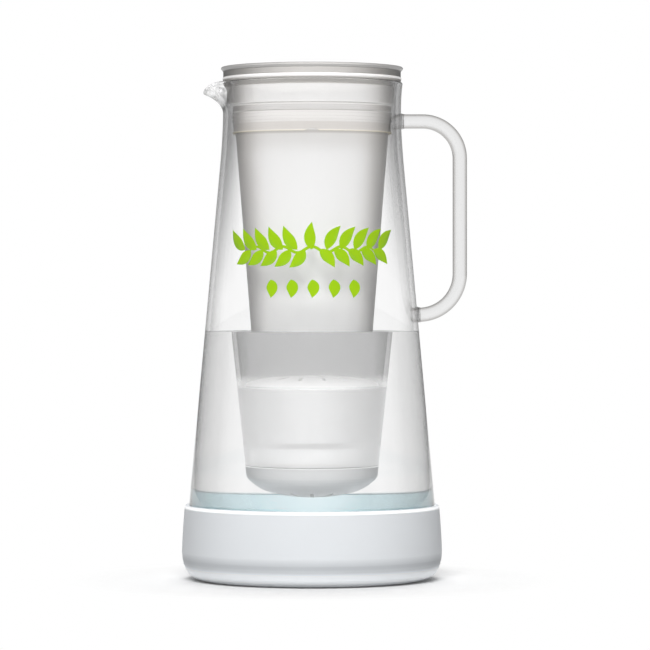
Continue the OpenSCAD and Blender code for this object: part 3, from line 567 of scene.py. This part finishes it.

# %% [markdown]
# ## Bands by height
#
# The pitcher is round, so most of what changes on it changes with height: the thick heel of the
# glass, the painted shade under a flange, the painted light on the edge of a lid. Painting a picture
# for each would need a layout of every surface. A band between two heights, read from the object's
# own coordinates, needs none, and the jug, hopper, seal, lid and boot all use it, so it is a node
# group too.

# %% The height band group


def make_band_group():
    """Two steps up, one at each height, and the difference between them."""
    group, given, result = new_group(
        "height band", {"Place": "Vector", "Low": "Float", "High": "Float", "Soft": "Float"},
        {"Mask": "Float"})
    height = add(group, "SeparateXYZ", Vector=given["Place"]).outputs["Z"]
    above, over = (
        add(group, "MapRange", Value=height,
            From_Min=sums(group, "SUBTRACT", given[edge], given["Soft"]),
            From_Max=sums(group, "ADD", given[edge], given["Soft"])).outputs[0]
        for edge in ("Low", "High"))
    group.links.new(sums(group, "SUBTRACT", above, over), result["Mask"])
    return group


BAND = make_band_group()


def height_band(tree, place, low, high, soft=0.2 * MM):
    """1 between two heights on the object and 0 outside them, with a soft step at both."""
    node = add(tree, "Group", {"node_tree": BAND}, Place=place, Low=low, High=high, Soft=soft)
    return node.outputs["Mask"]


print("band group:", len(BAND.nodes), "nodes")

# %% [markdown]
# ## Glass and water
#
# Clear glass shows itself at its edges, where the line of sight runs a long way through the wall
# and the picture behind is darkened. Here that darker outline is painted shade in the colour, by
# Layer Weight: it is 0 where a surface faces the eye and rises to 1 at the outline. Rays from lamps
# go straight through by a Transparent shader, so that what is inside is lit without the noise of
# bent shadow rays.

# %% Clear materials
GLASS_IOR, WATER_IOR = 1.47, 1.333
SMEAR_SCALE = 30.0


def see_through(tree, surface_shader, lamp_tint, output):
    """Sends lamps' shadow rays straight through, tinted, and all other rays to the shader."""
    through = add(tree, "BsdfTransparent", Color=lamp_tint)
    path = add(tree, "LightPath")
    both = add(tree, "MixShader", Fac=path.outputs["Is Shadow Ray"])
    tree.links.new(surface_shader.outputs[0], both.inputs[1])
    tree.links.new(through.outputs[0], both.inputs[2])
    tree.links.new(both.outputs[0], output.inputs[0])


def facing_ramp(tree, stops):
    """A colour that changes from the middle of a round shape to its outline."""
    return ramp(tree, add(tree, "LayerWeight", Blend=0.5).outputs["Facing"], stops)


def clear_material(name, ior, painted_outline_shade, wave, smear, lamp_tint, change_colour=None, body=None):
    """Clear glass or liquid: full transmission, a colour that darkens towards the outline as painted
    shade, slow waves from the melt as a bump, and a faint smear in the gloss. Where body is under 1,
    light also goes straight on without bending."""
    material, tree, place, output = new_material(name)
    surface = skin(tree, place, *wave, SMEAR_SCALE, *smear)
    colour = facing_ramp(tree, painted_outline_shade)
    if change_colour:
        colour = change_colour(tree, place, colour)
    glass = add(tree, "BsdfPrincipled", Base_Color=colour, Roughness=surface["Roughness"], IOR=ior,
                Transmission_Weight=1.0, Normal=surface["Normal"])
    if body:
        tree.links.new(body(tree, place), glass.inputs["Alpha"])
    see_through(tree, glass, lamp_tint, output)
    return material


# The water and the handle's glass darken to their outline by painted shade.
water_material = clear_material(
    "filtered water", WATER_IOR,
    [(0.0, grey(0.99)), (0.08, grey(0.97)), (0.13, grey(0.85)), (0.17, grey(0.68)),
     (0.24, grey(0.56)), (1.0, grey(0.52))],
    (12.0, 0.02), (0.0, 0.01), grey(0.995))
rod_material = clear_material(
    "handle glass", GLASS_IOR,
    [(0.0, grey(0.84)), (0.2, grey(0.76)), (0.4, grey(0.52, 0.02)), (0.6, grey(0.24, 0.05)),
     (0.8, grey(0.1, 0.08)), (1.0, grey(0.04, 0.04))],
    (40.0, 0.08), (0.0, 0.03), grey(0.9))
water.data.materials.append(water_material)
handle.data.materials.append(rod_material)
print("clear materials:", water_material.name, rod_material.name)

# %% [markdown]
# ## The jug's glass
#
# The jug's wall is seen through twice at the neck, where the glass turns away fastest and the hopper
# stands close behind it, so its painted outline shade is darker there than on the wide cone. Under
# water the painted outline is paler, because water and glass bend light nearly alike. In a low band
# at the thick heel, the faint green-blue that all plain glass has when it is deep is painted along
# with a darker shade.

# %% The jug's glass
# Ramps of painted outline shade: the heel's, with the green-blue tint of deep glass, the neck's, the
# cone's, the wall's under water and the spout's
HEEL_EDGE = [(0.0, (0.95, 1.0, 1.0, 1)), (0.012, (0.86, 0.96, 0.98, 1)),
             (0.05, (0.68, 0.79, 0.81, 1)), (0.12, (0.56, 0.66, 0.68, 1)),
             (0.28, (0.53, 0.62, 0.64, 1)), (0.6, (0.75, 0.85, 0.87, 1)), (1.0, (0.75, 0.85, 0.87, 1))]
HEEL_BAND = (30.4 * MM, 40.2 * MM, 0.6 * MM)
NECK_EDGE = [(0.0, grey(0.99)), (0.33, grey(0.98)), (0.45, grey(0.6)), (0.6, grey(0.3)),
             (0.8, grey(0.1)), (1.0, grey(0.03))]
CONE_EDGE = [(0.0, grey(0.99)), (0.5, grey(0.98)), (0.66, grey(0.78)), (0.86, grey(0.4)),
             (1.0, grey(0.12))]
WET_WALL_EDGE = [(0.0, grey(0.99)), (0.5, grey(0.98)), (0.66, grey(0.88)), (0.86, grey(0.75)),
                 (1.0, grey(0.6))]
SPOUT_EDGE = [(0.0, grey(0.97)), (0.55, grey(0.88)), (0.8, grey(0.35)), (1.0, grey(0.06))]
SPOUT_CLEAR = [(0.0, grey(0.88)), (0.55, grey(0.8)), (0.75, grey(0.3)), (1.0, grey(0.0))]
NECK_FADE = (150 * MM, 235 * MM)
SPOUT_OUT, SPOUT_UP = (-48 * MM, -50.5 * MM), (240 * MM, 246 * MM)
WATERLINE_SOFT = 0.3 * MM


def on_spout(tree, place):
    """1 where the wall stands out past the neck, and 0 on the rest of the jug."""
    out = axis_mask(tree, place, "X", *SPOUT_OUT)
    return sums(tree, "MULTIPLY", out, axis_mask(tree, place, "Z", *SPOUT_UP))


def jug_colour(tree, place, colour):
    """The cone's painted outline shade, paler under water, turned to the neck's with height, to the
    spout's where the wall stands out past the rim, and to the heel's tint and painted shade in a low
    band."""
    wet = axis_mask(tree, place, "Z", WATER_Z, WATER_Z - WATERLINE_SOFT)
    colour = mixed(tree, wet, colour, facing_ramp(tree, WET_WALL_EDGE))
    at_neck = mixed(tree, axis_mask(tree, place, "Z", *NECK_FADE), colour,
                    facing_ramp(tree, NECK_EDGE))
    pulled = mixed(tree, on_spout(tree, place), at_neck, facing_ramp(tree, SPOUT_EDGE))
    return mixed(tree, height_band(tree, place, *HEEL_BAND), pulled, facing_ramp(tree, HEEL_EDGE))


def spout_body(tree, place):
    """The thin lip of the spout bends little of the light that passes it, except at its outline."""
    clear = sums(tree, "MULTIPLY", on_spout(tree, place), facing_ramp(tree, SPOUT_CLEAR))
    return sums(tree, "SUBTRACT", 1.0, clear)


glass_material = clear_material("clear glass", GLASS_IOR, CONE_EDGE, (25.0, 0.05), (0.0, 0.02),
                                grey(0.99), jug_colour, spout_body)
jug.data.materials.append(glass_material)
print("jug's glass:", len(glass_material.node_tree.nodes), "nodes")

# %% [markdown]
# ## Frosted plastic
#
# The hopper is moulded from clear plastic with a frosted skin. It lets light through but blurs what
# is behind, so the white cartridge inside shows as a soft shape. Rough transmission does this. The
# plastic is also a little milky, and it greys towards the outline, where the line of sight runs
# along the wall; that greying is painted shade in its colour. A frosted wall also carries light round
# from behind and lets it out again. A true model of light inside the wall would need many samples,
# so painted light, a glow of the surface's own, stands for it.

# %% A frosted material
PLASTIC_IOR = 1.4
FROST_SKIN, CLOUDING = (900.0, 0.15, 18.0), 0.15


def frosted_material(name, milk, painted_outline_shade, cloud, roughness, lamp_tint, change_colour=None,
                     carried=None, body=None):
    """Rough transmission with a share of plain white: milk is how much of it scatters instead. The
    colour greys towards the outline by a painted shade, and the mottle clouds it a little. Carried is
    the painted light that the plastic gives off, and where body is under 1 the wall is clearer."""
    material, tree, place, output = new_material(name)
    surface = skin(tree, place, *FROST_SKIN, *roughness)
    clouded = mixed(tree, sums(tree, "MULTIPLY", surface["Mottle"], CLOUDING),
                    facing_ramp(tree, painted_outline_shade), cloud)
    if change_colour:
        clouded = change_colour(tree, place, clouded)
    plastic = add(tree, "BsdfPrincipled", Base_Color=clouded, Roughness=surface["Roughness"],
                  IOR=PLASTIC_IOR, Transmission_Weight=1.0 - milk, Normal=surface["Normal"])
    if carried:
        paint_glow(tree, plastic, carried(tree, place))
    if body:
        tree.links.new(body(tree, place), plastic.inputs["Alpha"])
    see_through(tree, plastic, lamp_tint, output)
    return material


print("frosted plastic: IOR", PLASTIC_IOR)

# %% [markdown]
# ## The hopper
#
# Painted shades and painted pale lines run round the cup. Painted shade darkens it below the seal
# band, on the fine ridges and in the groove under the flange, dark seam lines mark its lower end and
# the band's lower edge, and painted light brightens its thick floor, steps and rim. Where water
# stands against the frosted skin it fills the tiny pits, so the wall is clearer there and the domed
# top of the cartridge is seen through it. Above the dome, where the cup is empty, a painted shade
# makes it grey.

# %% The hopper's plastic
WATER_TOP = WATER_Z - 0.1 * MM
CLEAR_FROM, CLEAR_SOFT = 100 * MM, 2 * MM
EMPTY_FROM, EMPTY_SOFT = 103.2 * MM, 4.5 * MM
CLEARNESS = [(0.0, grey(0.8)), (0.4, grey(0.79)), (0.7, grey(0.7)), (1.0, grey(0.6))]
# Painted shade on the part of the cup that is empty under water, above the dome
EMPTY_PAINTED_SHADE = grey(0.33)
LOW_FADE = (210 * MM, 135 * MM)
WET_EDGE = [(0.0, grey(0.99)), (0.5, grey(0.98)), (0.8, grey(0.9)), (1.0, grey(0.72))]
LOW_EDGE = [(0.0, grey(0.99)), (0.3, grey(0.95, 0.005)), (0.45, grey(0.84, 0.01)),
            (0.7, grey(0.62, 0.015)), (1.0, grey(0.45, 0.02))]
# Low edge, high edge, softness and tint: a dark seam line at the cup's lower end, painted shade below
# the seal band, a dark seam line at the band's lower edge, and painted shade on the fine ridges and
# in the groove under the flange
HOPPER_SHADES_AND_SEAMS = [
    (58.5 * MM, 59.9 * MM, 0.2 * MM, grey(0.55)),
    (229 * MM, 236.6 * MM, 5 * MM, grey(0.84, 0.01)),
    (235.5 * MM, 237.2 * MM, 0.4 * MM, grey(0.7, 0.02)),
    (247.4 * MM, 251.7 * MM, 0.4 * MM, grey(0.84, 0.01)),
    (261.3 * MM, 264.9 * MM, 0.3 * MM, grey(0.46, 0.035))]
# The same for painted light: the floor, the step out to the collar, the step above the seal band,
# and the flange's rim
HOPPER_PAINTED_LINES = [
    (70.5 * MM, 72.1 * MM, 0.8 * MM, grey(0.14)),
    (250.8 * MM, 252.1 * MM, 0.2 * MM, grey(0.24)),
    (247.1 * MM, 247.9 * MM, 0.2 * MM, grey(0.16)),
    (265.3 * MM, 266.5 * MM, 0.2 * MM, grey(0.4))]
# Painted light: under water a glow that grows towards the outline, above the water a faint one that
# fades at the outline
WET_PAINTED_GLOW = [(0.0, grey(0.0)), (0.12, grey(0.0)), (0.35, grey(0.09)), (0.6, grey(0.2)),
               (1.0, grey(0.28))]
DRY_PAINTED_GLOW = [(0.0, grey(0.04)), (0.06, grey(0.05)), (0.13, grey(0.08)), (0.22, grey(0.09)),
               (0.34, grey(0.08)), (0.52, grey(0.04)), (0.75, grey(0.01)), (1.0, grey(0.0))]


def above_water(tree, place):
    """0 on the part of the cup that stands in water and 1 above it."""
    return axis_mask(tree, place, "Z", WATER_TOP - WATERLINE_SOFT, WATER_TOP)


def wetted(tree, place, low, soft):
    """1 from a height on the cup up to the water that stands round it."""
    above = axis_mask(tree, place, "Z", low, low + soft)
    return sums(tree, "MULTIPLY", above, sums(tree, "SUBTRACT", 1.0, above_water(tree, place)))


def hopper_colour(tree, place, colour):
    """Painted outline shade, paler low down and in the water, and darker bands of painted shade and
    seam lines, with a painted shade where the cup is empty under water."""
    colour = mixed(tree, axis_mask(tree, place, "Z", *LOW_FADE), colour, facing_ramp(tree, LOW_EDGE))
    colour = mixed(tree, above_water(tree, place), facing_ramp(tree, WET_EDGE), colour)
    for low, high, soft, tint in HOPPER_SHADES_AND_SEAMS:
        colour = tinted(tree, colour, height_band(tree, place, low, high, soft), tint)
    return tinted(tree, colour, wetted(tree, place, EMPTY_FROM, EMPTY_SOFT), EMPTY_PAINTED_SHADE)


def hopper_body(tree, place):
    """Water fills the frosted skin from outside, so the wall there hides less of the filter. It
    hides more towards the outline, where the line of sight runs along the wall."""
    clear = sums(tree, "MULTIPLY", wetted(tree, place, CLEAR_FROM, CLEAR_SOFT),
                 facing_ramp(tree, CLEARNESS))
    return sums(tree, "SUBTRACT", 1.0, clear)


def hopper_painted_glow(tree, place):
    """Painted light that stands for the light the frosted wall carries round from behind: most of it
    at the sides where the cup stands in water, none where the cup is empty under water, and more on
    the thick rim of the flange, the steps and the floor."""
    light = mixed(tree, above_water(tree, place), facing_ramp(tree, WET_PAINTED_GLOW),
                  facing_ramp(tree, DRY_PAINTED_GLOW))
    light = mixed(tree, wetted(tree, place, EMPTY_FROM, EMPTY_SOFT), light, grey(0.0))
    for low, high, soft, line in HOPPER_PAINTED_LINES:
        light = mixed(tree, height_band(tree, place, low, high, soft), light, line)
    return light


frosted = frosted_material(
    "frosted plastic", 0.45,
    [(0.0, grey(0.99)), (0.2, grey(0.985, 0.003)), (0.3, grey(0.92, 0.012)),
     (0.45, grey(0.66, 0.03)), (0.7, grey(0.36, 0.05)), (1.0, grey(0.2, 0.05))],
    grey(0.97), (0.42, 0.5), grey(0.98), hopper_colour, hopper_painted_glow, hopper_body)
print("hopper's plastic:", len(frosted.node_tree.nodes), "nodes")

# %% [markdown]
# ## The seals and the lid
#
# The seals are cloudy silicone, a little warmer and milkier than the cup, and painted light makes the
# bead along the lower edge of the large one pale. The lid is a greyer plastic that lets little
# through, and painted light makes its thin edge paler than its neck. Both are frosted materials with
# other values, and grey to their outlines by painted shade.

# %% Seal silicone and lid plastic
SEAL_PLAIN, SEAL_BEAD = (237.5 * MM, 241.5 * MM), (236.4 * MM, 237.2 * MM)
LID_EDGE = (269.9 * MM, 271.7 * MM)


def seal_colour(tree, place, colour):
    """The plain lower half is a little darker and warmer than the finned upper half."""
    return tinted(tree, colour, height_band(tree, place, *SEAL_PLAIN), grey(0.84, 0.02))


def seal_painted_glow(tree, place):
    """Painted light: a faint glow over the silicone, and most of it at the bead."""
    return mixed(tree, height_band(tree, place, *SEAL_BEAD), facing_ramp(tree, DRY_PAINTED_GLOW),
                 (0.13, 0.11, 0.055, 1))


def lid_painted_glow(tree, place):
    """Painted light on the lid's thin edge."""
    return mixed(tree, height_band(tree, place, *LID_EDGE), grey(0.0), grey(0.16))


seal_silicone = frosted_material(
    "seal silicone", 0.5,
    [(0.0, grey(0.9, 0.01)), (0.2, grey(0.91, 0.01)), (0.32, grey(0.82, 0.015)),
     (0.46, grey(0.64, 0.03)), (0.7, grey(0.38, 0.04)), (1.0, grey(0.22, 0.05))],
    grey(0.94, 0.02), (0.4, 0.5), grey(0.9, 0.01), seal_colour, seal_painted_glow)
lid_plastic = frosted_material(
    "lid plastic", 0.8,
    [(0.0, grey(0.74, 0.03)), (0.08, grey(0.68, 0.03)), (0.2, grey(0.54, 0.03)),
     (0.35, grey(0.37, 0.035)), (0.5, grey(0.27, 0.035)), (0.75, grey(0.14, 0.04)),
     (1.0, grey(0.08, 0.04))],
    grey(0.72, 0.03), (0.36, 0.44), grey(0.9), None, lid_painted_glow)
print("frosted materials:", seal_silicone.name, lid_plastic.name)

# %% [markdown]
# ## Opaque plastics
#
# The cartridges are white plastic with a fine mould grain, and the print is matt ink. Their colour
# wanders a little, by the slow mask of the skin group. The dome and the cup of the lower cartridge
# stand in bright water and are brightened by a little painted light, a glow like the frosted wall's.

# %% Moulded materials
WHITE_SKIN = (900.0, 0.15, 25.0, 0.35, 0.5)


def moulded_material(name, low, high, skin_values, change_colour=None, carried=None, **shader_values):
    """An opaque moulded part: its colour wanders between two, by the slow mask of its skin. Carried
    is painted light that it gives off.
    """
    material, tree, place, output = new_material(name)
    surface = skin(tree, place, *skin_values)
    colour = mixed(tree, surface["Mottle"], low, high)
    if change_colour:
        colour = change_colour(tree, place, colour)
    shader = add(tree, "BsdfPrincipled", Base_Color=colour, Roughness=surface["Roughness"],
                 Normal=surface["Normal"], **shader_values)
    if carried:
        paint_glow(tree, shader, carried(tree, place))
    tree.links.new(shader.outputs[0], output.inputs[0])
    return material


cartridge_white = moulded_material("cartridge plastic", grey(0.83), grey(0.86), WHITE_SKIN)
# The dome and the cup give off painted light, a faint glow by Emission.
dome_painted_glow_white = moulded_material("dome plastic", grey(0.88), grey(0.92), WHITE_SKIN,
                              Emission_Color=grey(0.19), Emission_Strength=1.0)
cup_painted_glow_white = moulded_material("cup plastic", grey(0.86), grey(0.9), WHITE_SKIN,
                             Emission_Color=grey(0.06), Emission_Strength=1.0)
print_ink = moulded_material("print ink", (0.37, 0.66, 0.003, 1), (0.41, 0.7, 0.004, 1),
                             (1500.0, 0.1, 60.0, 0.35, 0.45))
screen_plastic = moulded_material("screen plastic", grey(0.55), grey(0.62),
                                  (1500.0, 0.1, 40.0, 0.4, 0.5))
pin_steel = moulded_material("pin steel", grey(0.6), grey(0.66), (2500.0, 0.1, 80.0, 0.2, 0.32),
                             Metallic=1.0)
garland.data.materials.clear()
garland.data.materials.append(print_ink)
print("moulded materials:", cartridge_white.name, dome_painted_glow_white.name, cup_painted_glow_white.name)

# %% [markdown]
# ## The boot's silicone
#
# The boot is softer and duller than the plastics, and slightly blue. Painted light brightens the
# bowl that the glass stands in and the thin lip round it. Painted light also stands for the white
# table shining back into the curve of the foot, and a painted soft shade lies above that, under the
# bulge.

# %% The boot
# Where the boot's painted light and painted shade lie: the bowl, the lip, the band under the bulge and
# the foot
BOWL_R = (65.8 * MM, 65.6 * MM)
BOWL_RISE, BOWL_FLOOR = (-6 * MM, 26 * MM), (3.85 * MM, 3.9 * MM)
BOOT_LIP, UNDER_BULGE = (38 * MM, 39.3 * MM, 0.3 * MM), (8.5 * MM, 12.5 * MM, 2.5 * MM)
FOOT_TOP, FOOT_BOTTOM = (8.5 * MM, 5 * MM), (1.8 * MM, 3 * MM)


def boot_colour(tree, place, colour):
    """A soft shade under the bulge."""
    return tinted(tree, colour, height_band(tree, place, *UNDER_BULGE), grey(0.67, -0.01))


def boot_painted_glow(tree, place):
    """Painted light in the bowl, more of it higher up, and on the lip and the curve of the foot. The
    bowl is the part within a radius, so the distance from the axis picks it out."""
    flat = add(tree, "VectorMath", {"operation": "MULTIPLY"})
    give(tree, flat.inputs[0], place)
    give(tree, flat.inputs[1], (1, 1, 0))
    from_axis = add(tree, "VectorMath", {"operation": "LENGTH"})
    give(tree, from_axis.inputs[0], flat.outputs[0])
    bowl = add(tree, "MapRange", Value=from_axis.outputs["Value"], From_Min=BOWL_R[0],
               From_Max=BOWL_R[1]).outputs[0]
    for edges in (BOWL_RISE, BOWL_FLOOR):
        bowl = sums(tree, "MULTIPLY", bowl, axis_mask(tree, place, "Z", *edges))
    foot = sums(tree, "MULTIPLY", axis_mask(tree, place, "Z", *FOOT_TOP),
                axis_mask(tree, place, "Z", *FOOT_BOTTOM))
    light = mixed(tree, foot, grey(0.0), grey(0.26, -0.02))
    light = mixed(tree, height_band(tree, place, *BOOT_LIP), light, grey(0.5))
    return mixed(tree, bowl, light, (0.8, 0.84, 0.85, 1))


boot_silicone = moulded_material("boot silicone", grey(0.91, -0.03), grey(0.94, -0.03),
                                 (1400.0, 0.12, 14.0, 0.5, 0.62), boot_colour, boot_painted_glow,
                                 Specular_IOR_Level=0.25)
print("boot silicone:", len(boot_silicone.node_tree.nodes), "nodes")

# %% [markdown]
# ## The filter's fillings
#
# The fillings are only seen when the part is taken to pieces, and each has its own texture: granules
# are cells, felt is fine noise, the resin is beads, and the strands and the disc that holds them are
# smooth. Cells of noise make loose stuff without a solid for each grain.

# %% The fillings


def grainy_material(name, low, high, cell_scale, depth, roughness):
    """Loose or felted stuff: cells of noise that give both the colour and the relief."""
    material, tree, place, output = new_material(name)
    cells = add(tree, "TexVoronoi", Vector=place, Scale=cell_scale)
    relief = add(tree, "Bump", Height=cells.outputs["Distance"], Strength=depth, Distance=CELL_H)
    shader = add(tree, "BsdfPrincipled", Roughness=roughness, Normal=relief.outputs[0],
                 Base_Color=mixed(tree, cells.outputs["Distance"], low, high))
    tree.links.new(shader.outputs[0], output.inputs[0])
    return material


felt = grainy_material("felt", grey(0.7), grey(0.88), 1800.0, 0.4, 0.9)
granules = grainy_material("carbon granules", grey(0.02), grey(0.09), 900.0, 0.9, 0.55)
beads = grainy_material("resin beads", (0.75, 0.55, 0.22, 1), (0.5, 0.32, 0.1, 1), 1100.0, 0.9, 0.3)
fibre_white = moulded_material("fibre", grey(0.8, 0.02), grey(0.86, 0.02),
                               (3000.0, 0.3, 200.0, 0.5, 0.7))
potting_resin = moulded_material("potting resin", (0.72, 0.66, 0.5, 1), (0.8, 0.74, 0.58, 1),
                                 (300.0, 0.1, 60.0, 0.2, 0.3))
print("fillings:", felt.name, granules.name, beads.name)

# %% [markdown]
# ## A material for every part
#
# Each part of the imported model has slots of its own. Giving the material to the object and not to
# its mesh leaves the model's mesh as it is.

# %% Materials for the CAD nodes
NODE_MATERIALS = {
    "silicone_boot": boot_silicone, "hopper": frosted, "seal_band": seal_silicone,
    "lid_seal": seal_silicone, "lid_frame": lid_plastic, "fill_flap": lid_plastic,
    "membrane_housing": cartridge_white, "membrane_cap": dome_painted_glow_white,
    "carbon_cup": cup_painted_glow_white, "carbon_cover": cartridge_white,
    "inlet_screen": screen_plastic, "hollow_fibres": fibre_white, "potting_disc": potting_resin,
    "spigot_o_rings": seal_silicone, "carbon_o_ring": seal_silicone, "hinge_pin": pin_steel,
    "outlet_felt": felt, "middle_felt": felt, "inlet_felt": felt, "carbon_bed": granules,
    "resin_bed": beads, "glass_jug": glass_material, "glass_handle": rod_material,
}
for name, material in NODE_MATERIALS.items():
    for holder in nodes[name].material_slots:
        holder.link = "OBJECT"
        holder.material = material
print("nodes with a material:", len(NODE_MATERIALS), "of", len(nodes))

# %% [markdown]
# ## Floor, light and background
#
# The pitcher stands on a white table in front of a white wall. A lit wall that is bright enough to
# be white would flood the object, so the background is white only for rays that come from the
# camera, straight or through glass, and the lamps stay at a plain level. The floor is
# white in the same way, but keeps a share of real light, so that the object's shadow shows on it.

# %% The floor
FLOOR_GLOW = 0.08
SHADOW_R, WHITE_R = 0.085, 0.135


def seen_directly(tree):
    """1 for rays from the camera, or from a mirror or glass that the camera sees."""
    path = add(tree, "LightPath").outputs
    clear = sums(tree, "MAXIMUM", path["Is Glossy Ray"], path["Is Transmission Ray"])
    first = sums(tree, "LESS_THAN", path["Diffuse Depth"], 0.5)
    return sums(tree, "MAXIMUM", path["Is Camera Ray"], sums(tree, "MULTIPLY", clear, first))


floor_material, tree, place, output = new_material("floor")
speckle = add(tree, "TexNoise", Vector=place, Scale=40.0)
paper = add(tree, "BsdfDiffuse",
            Color=mixed(tree, speckle.outputs["Fac"], grey(0.91), grey(0.94)))
bounce = add(tree, "BsdfDiffuse",
             Color=mixed(tree, speckle.outputs["Fac"], grey(0.58), grey(0.64)))
glow = add(tree, "Emission", Strength=FLOOR_GLOW)
near = add(tree, "AddShader")
tree.links.new(paper.outputs[0], near.inputs[0])
tree.links.new(glow.outputs[0], near.inputs[1])
away = add(tree, "VectorMath", {"operation": "LENGTH"})
tree.links.new(place, away.inputs[0])
spread = add(tree, "MapRange", {"interpolation_type": "SMOOTHSTEP"}, Value=away.outputs["Value"],
             From_Min=SHADOW_R, From_Max=WHITE_R)
far = add(tree, "Emission", Strength=1.0)
seen = add(tree, "MixShader", Fac=spread.outputs[0])
tree.links.new(near.outputs[0], seen.inputs[1])
tree.links.new(far.outputs[0], seen.inputs[2])
switch = add(tree, "MixShader", Fac=seen_directly(tree))
tree.links.new(bounce.outputs[0], switch.inputs[1])
tree.links.new(seen.outputs[0], switch.inputs[2])
tree.links.new(switch.outputs[0], output.inputs[0])

FLOOR_HALF, TABLE_Z = 4.0, -0.2 * MM
floor_mesh = bpy.data.meshes.new("floor")
floor_mesh.from_pydata(
    [(x * FLOOR_HALF, y * FLOOR_HALF, TABLE_Z) for x, y in ((-1, -1), (1, -1), (1, 1), (-1, 1))],
    [], [(0, 1, 2, 3)])
floor = bpy.data.objects.new("floor", floor_mesh)
floor.data.materials.append(floor_material)
bpy.context.scene.collection.objects.link(floor)
print("floor:", 2 * FLOOR_HALF, "m across")

# %% [markdown]
# Round a glass object a photographer hangs dark cards, which the glass mirrors at its outline. Here
# mirrored rays see a darker world than the rays that pass through.

# %% The world
MIRRORED_DARK, ROOM_LEVEL = 0.65, 0.08
world = bpy.data.worlds.new("studio")
bpy.context.scene.world = world
world.use_nodes = True
tree = world.node_tree
tree.nodes.clear()
room = add(tree, "Background", Color=grey(1.0), Strength=ROOM_LEVEL)
white = add(tree, "Background", Color=grey(1.0), Strength=1.0)
path = add(tree, "LightPath").outputs
mirrored = sums(tree, "SUBTRACT", path["Is Glossy Ray"], path["Is Transmission Ray"])
less = sums(tree, "SUBTRACT", 1.0, sums(tree, "MULTIPLY", mirrored, MIRRORED_DARK))
choice = add(tree, "MixShader", Fac=sums(tree, "MULTIPLY", seen_directly(tree), less))
tree.links.new(room.outputs[0], choice.inputs[1])
tree.links.new(white.outputs[0], choice.inputs[2])
tree.links.new(choice.outputs[0], add(tree, "OutputWorld").inputs[0])
print("world:", world.name, "with a room level of", ROOM_LEVEL)

# %% [markdown]
# ## The lamps
#
# Two square lamps, each a metre wide, give plain soft light: one in front and above, and a weaker
# one from behind the top. Glass and mirrored rays don't see them, so they make no bright squares.

# %% The lamps
MIDDLE_Z = 0.14


def soft_lamp(name, place, size, power):
    """A square area lamp that looks at the middle of the pitcher."""
    light = bpy.data.lights.new(name, "AREA")
    light.shape = "SQUARE"
    light.size = size
    light.energy = power
    lamp = bpy.data.objects.new(name, light)
    lamp.location = place
    aim = mathutils.Vector((0, 0, MIDDLE_Z)) - lamp.location
    lamp.rotation_euler = aim.to_track_quat("-Z", "Y").to_euler()
    lamp.visible_glossy = False
    lamp.visible_transmission = False
    bpy.context.scene.collection.objects.link(lamp)
    return lamp


lamps = [soft_lamp("front lamp", (-0.14, -2.0, 1.5), 1.0, 45),
         soft_lamp("top lamp", (0.05, 0.6, 1.9), 1.0, 20)]
print("lamps:", [(lamp.name, lamp.data.energy) for lamp in lamps])

# %% [markdown]
# ## The camera
#
# A long lens at the height of the jug's middle shows the pitcher straight from its side, with the
# spout on the left. The lens is shifted a little to frame it.

# %% The camera
DISTANCE, CAMERA_Z = 1.9, 0.15
FRAME_WIDTH = 0.3457
SENSOR = 36.0
# The lens shift and the side of the image it is counted in, in pixels
IMAGE_SIDE, SHIFT_RIGHT, SHIFT_UP = 650, 13, -28.05
lens = bpy.data.cameras.new("camera")
lens.sensor_width = SENSOR
lens.lens = SENSOR * DISTANCE / FRAME_WIDTH
lens.shift_x = SHIFT_RIGHT / IMAGE_SIDE
lens.shift_y = SHIFT_UP / IMAGE_SIDE
camera = bpy.data.objects.new("camera", lens)
camera.location = (0, -DISTANCE, CAMERA_Z)
camera.rotation_euler = (math.pi / 2, 0, 0)
bpy.context.scene.collection.objects.link(camera)
bpy.context.scene.camera = camera
bpy.context.scene.view_settings.view_transform = "Standard"
print("lens:", round(lens.lens, 1), "mm")
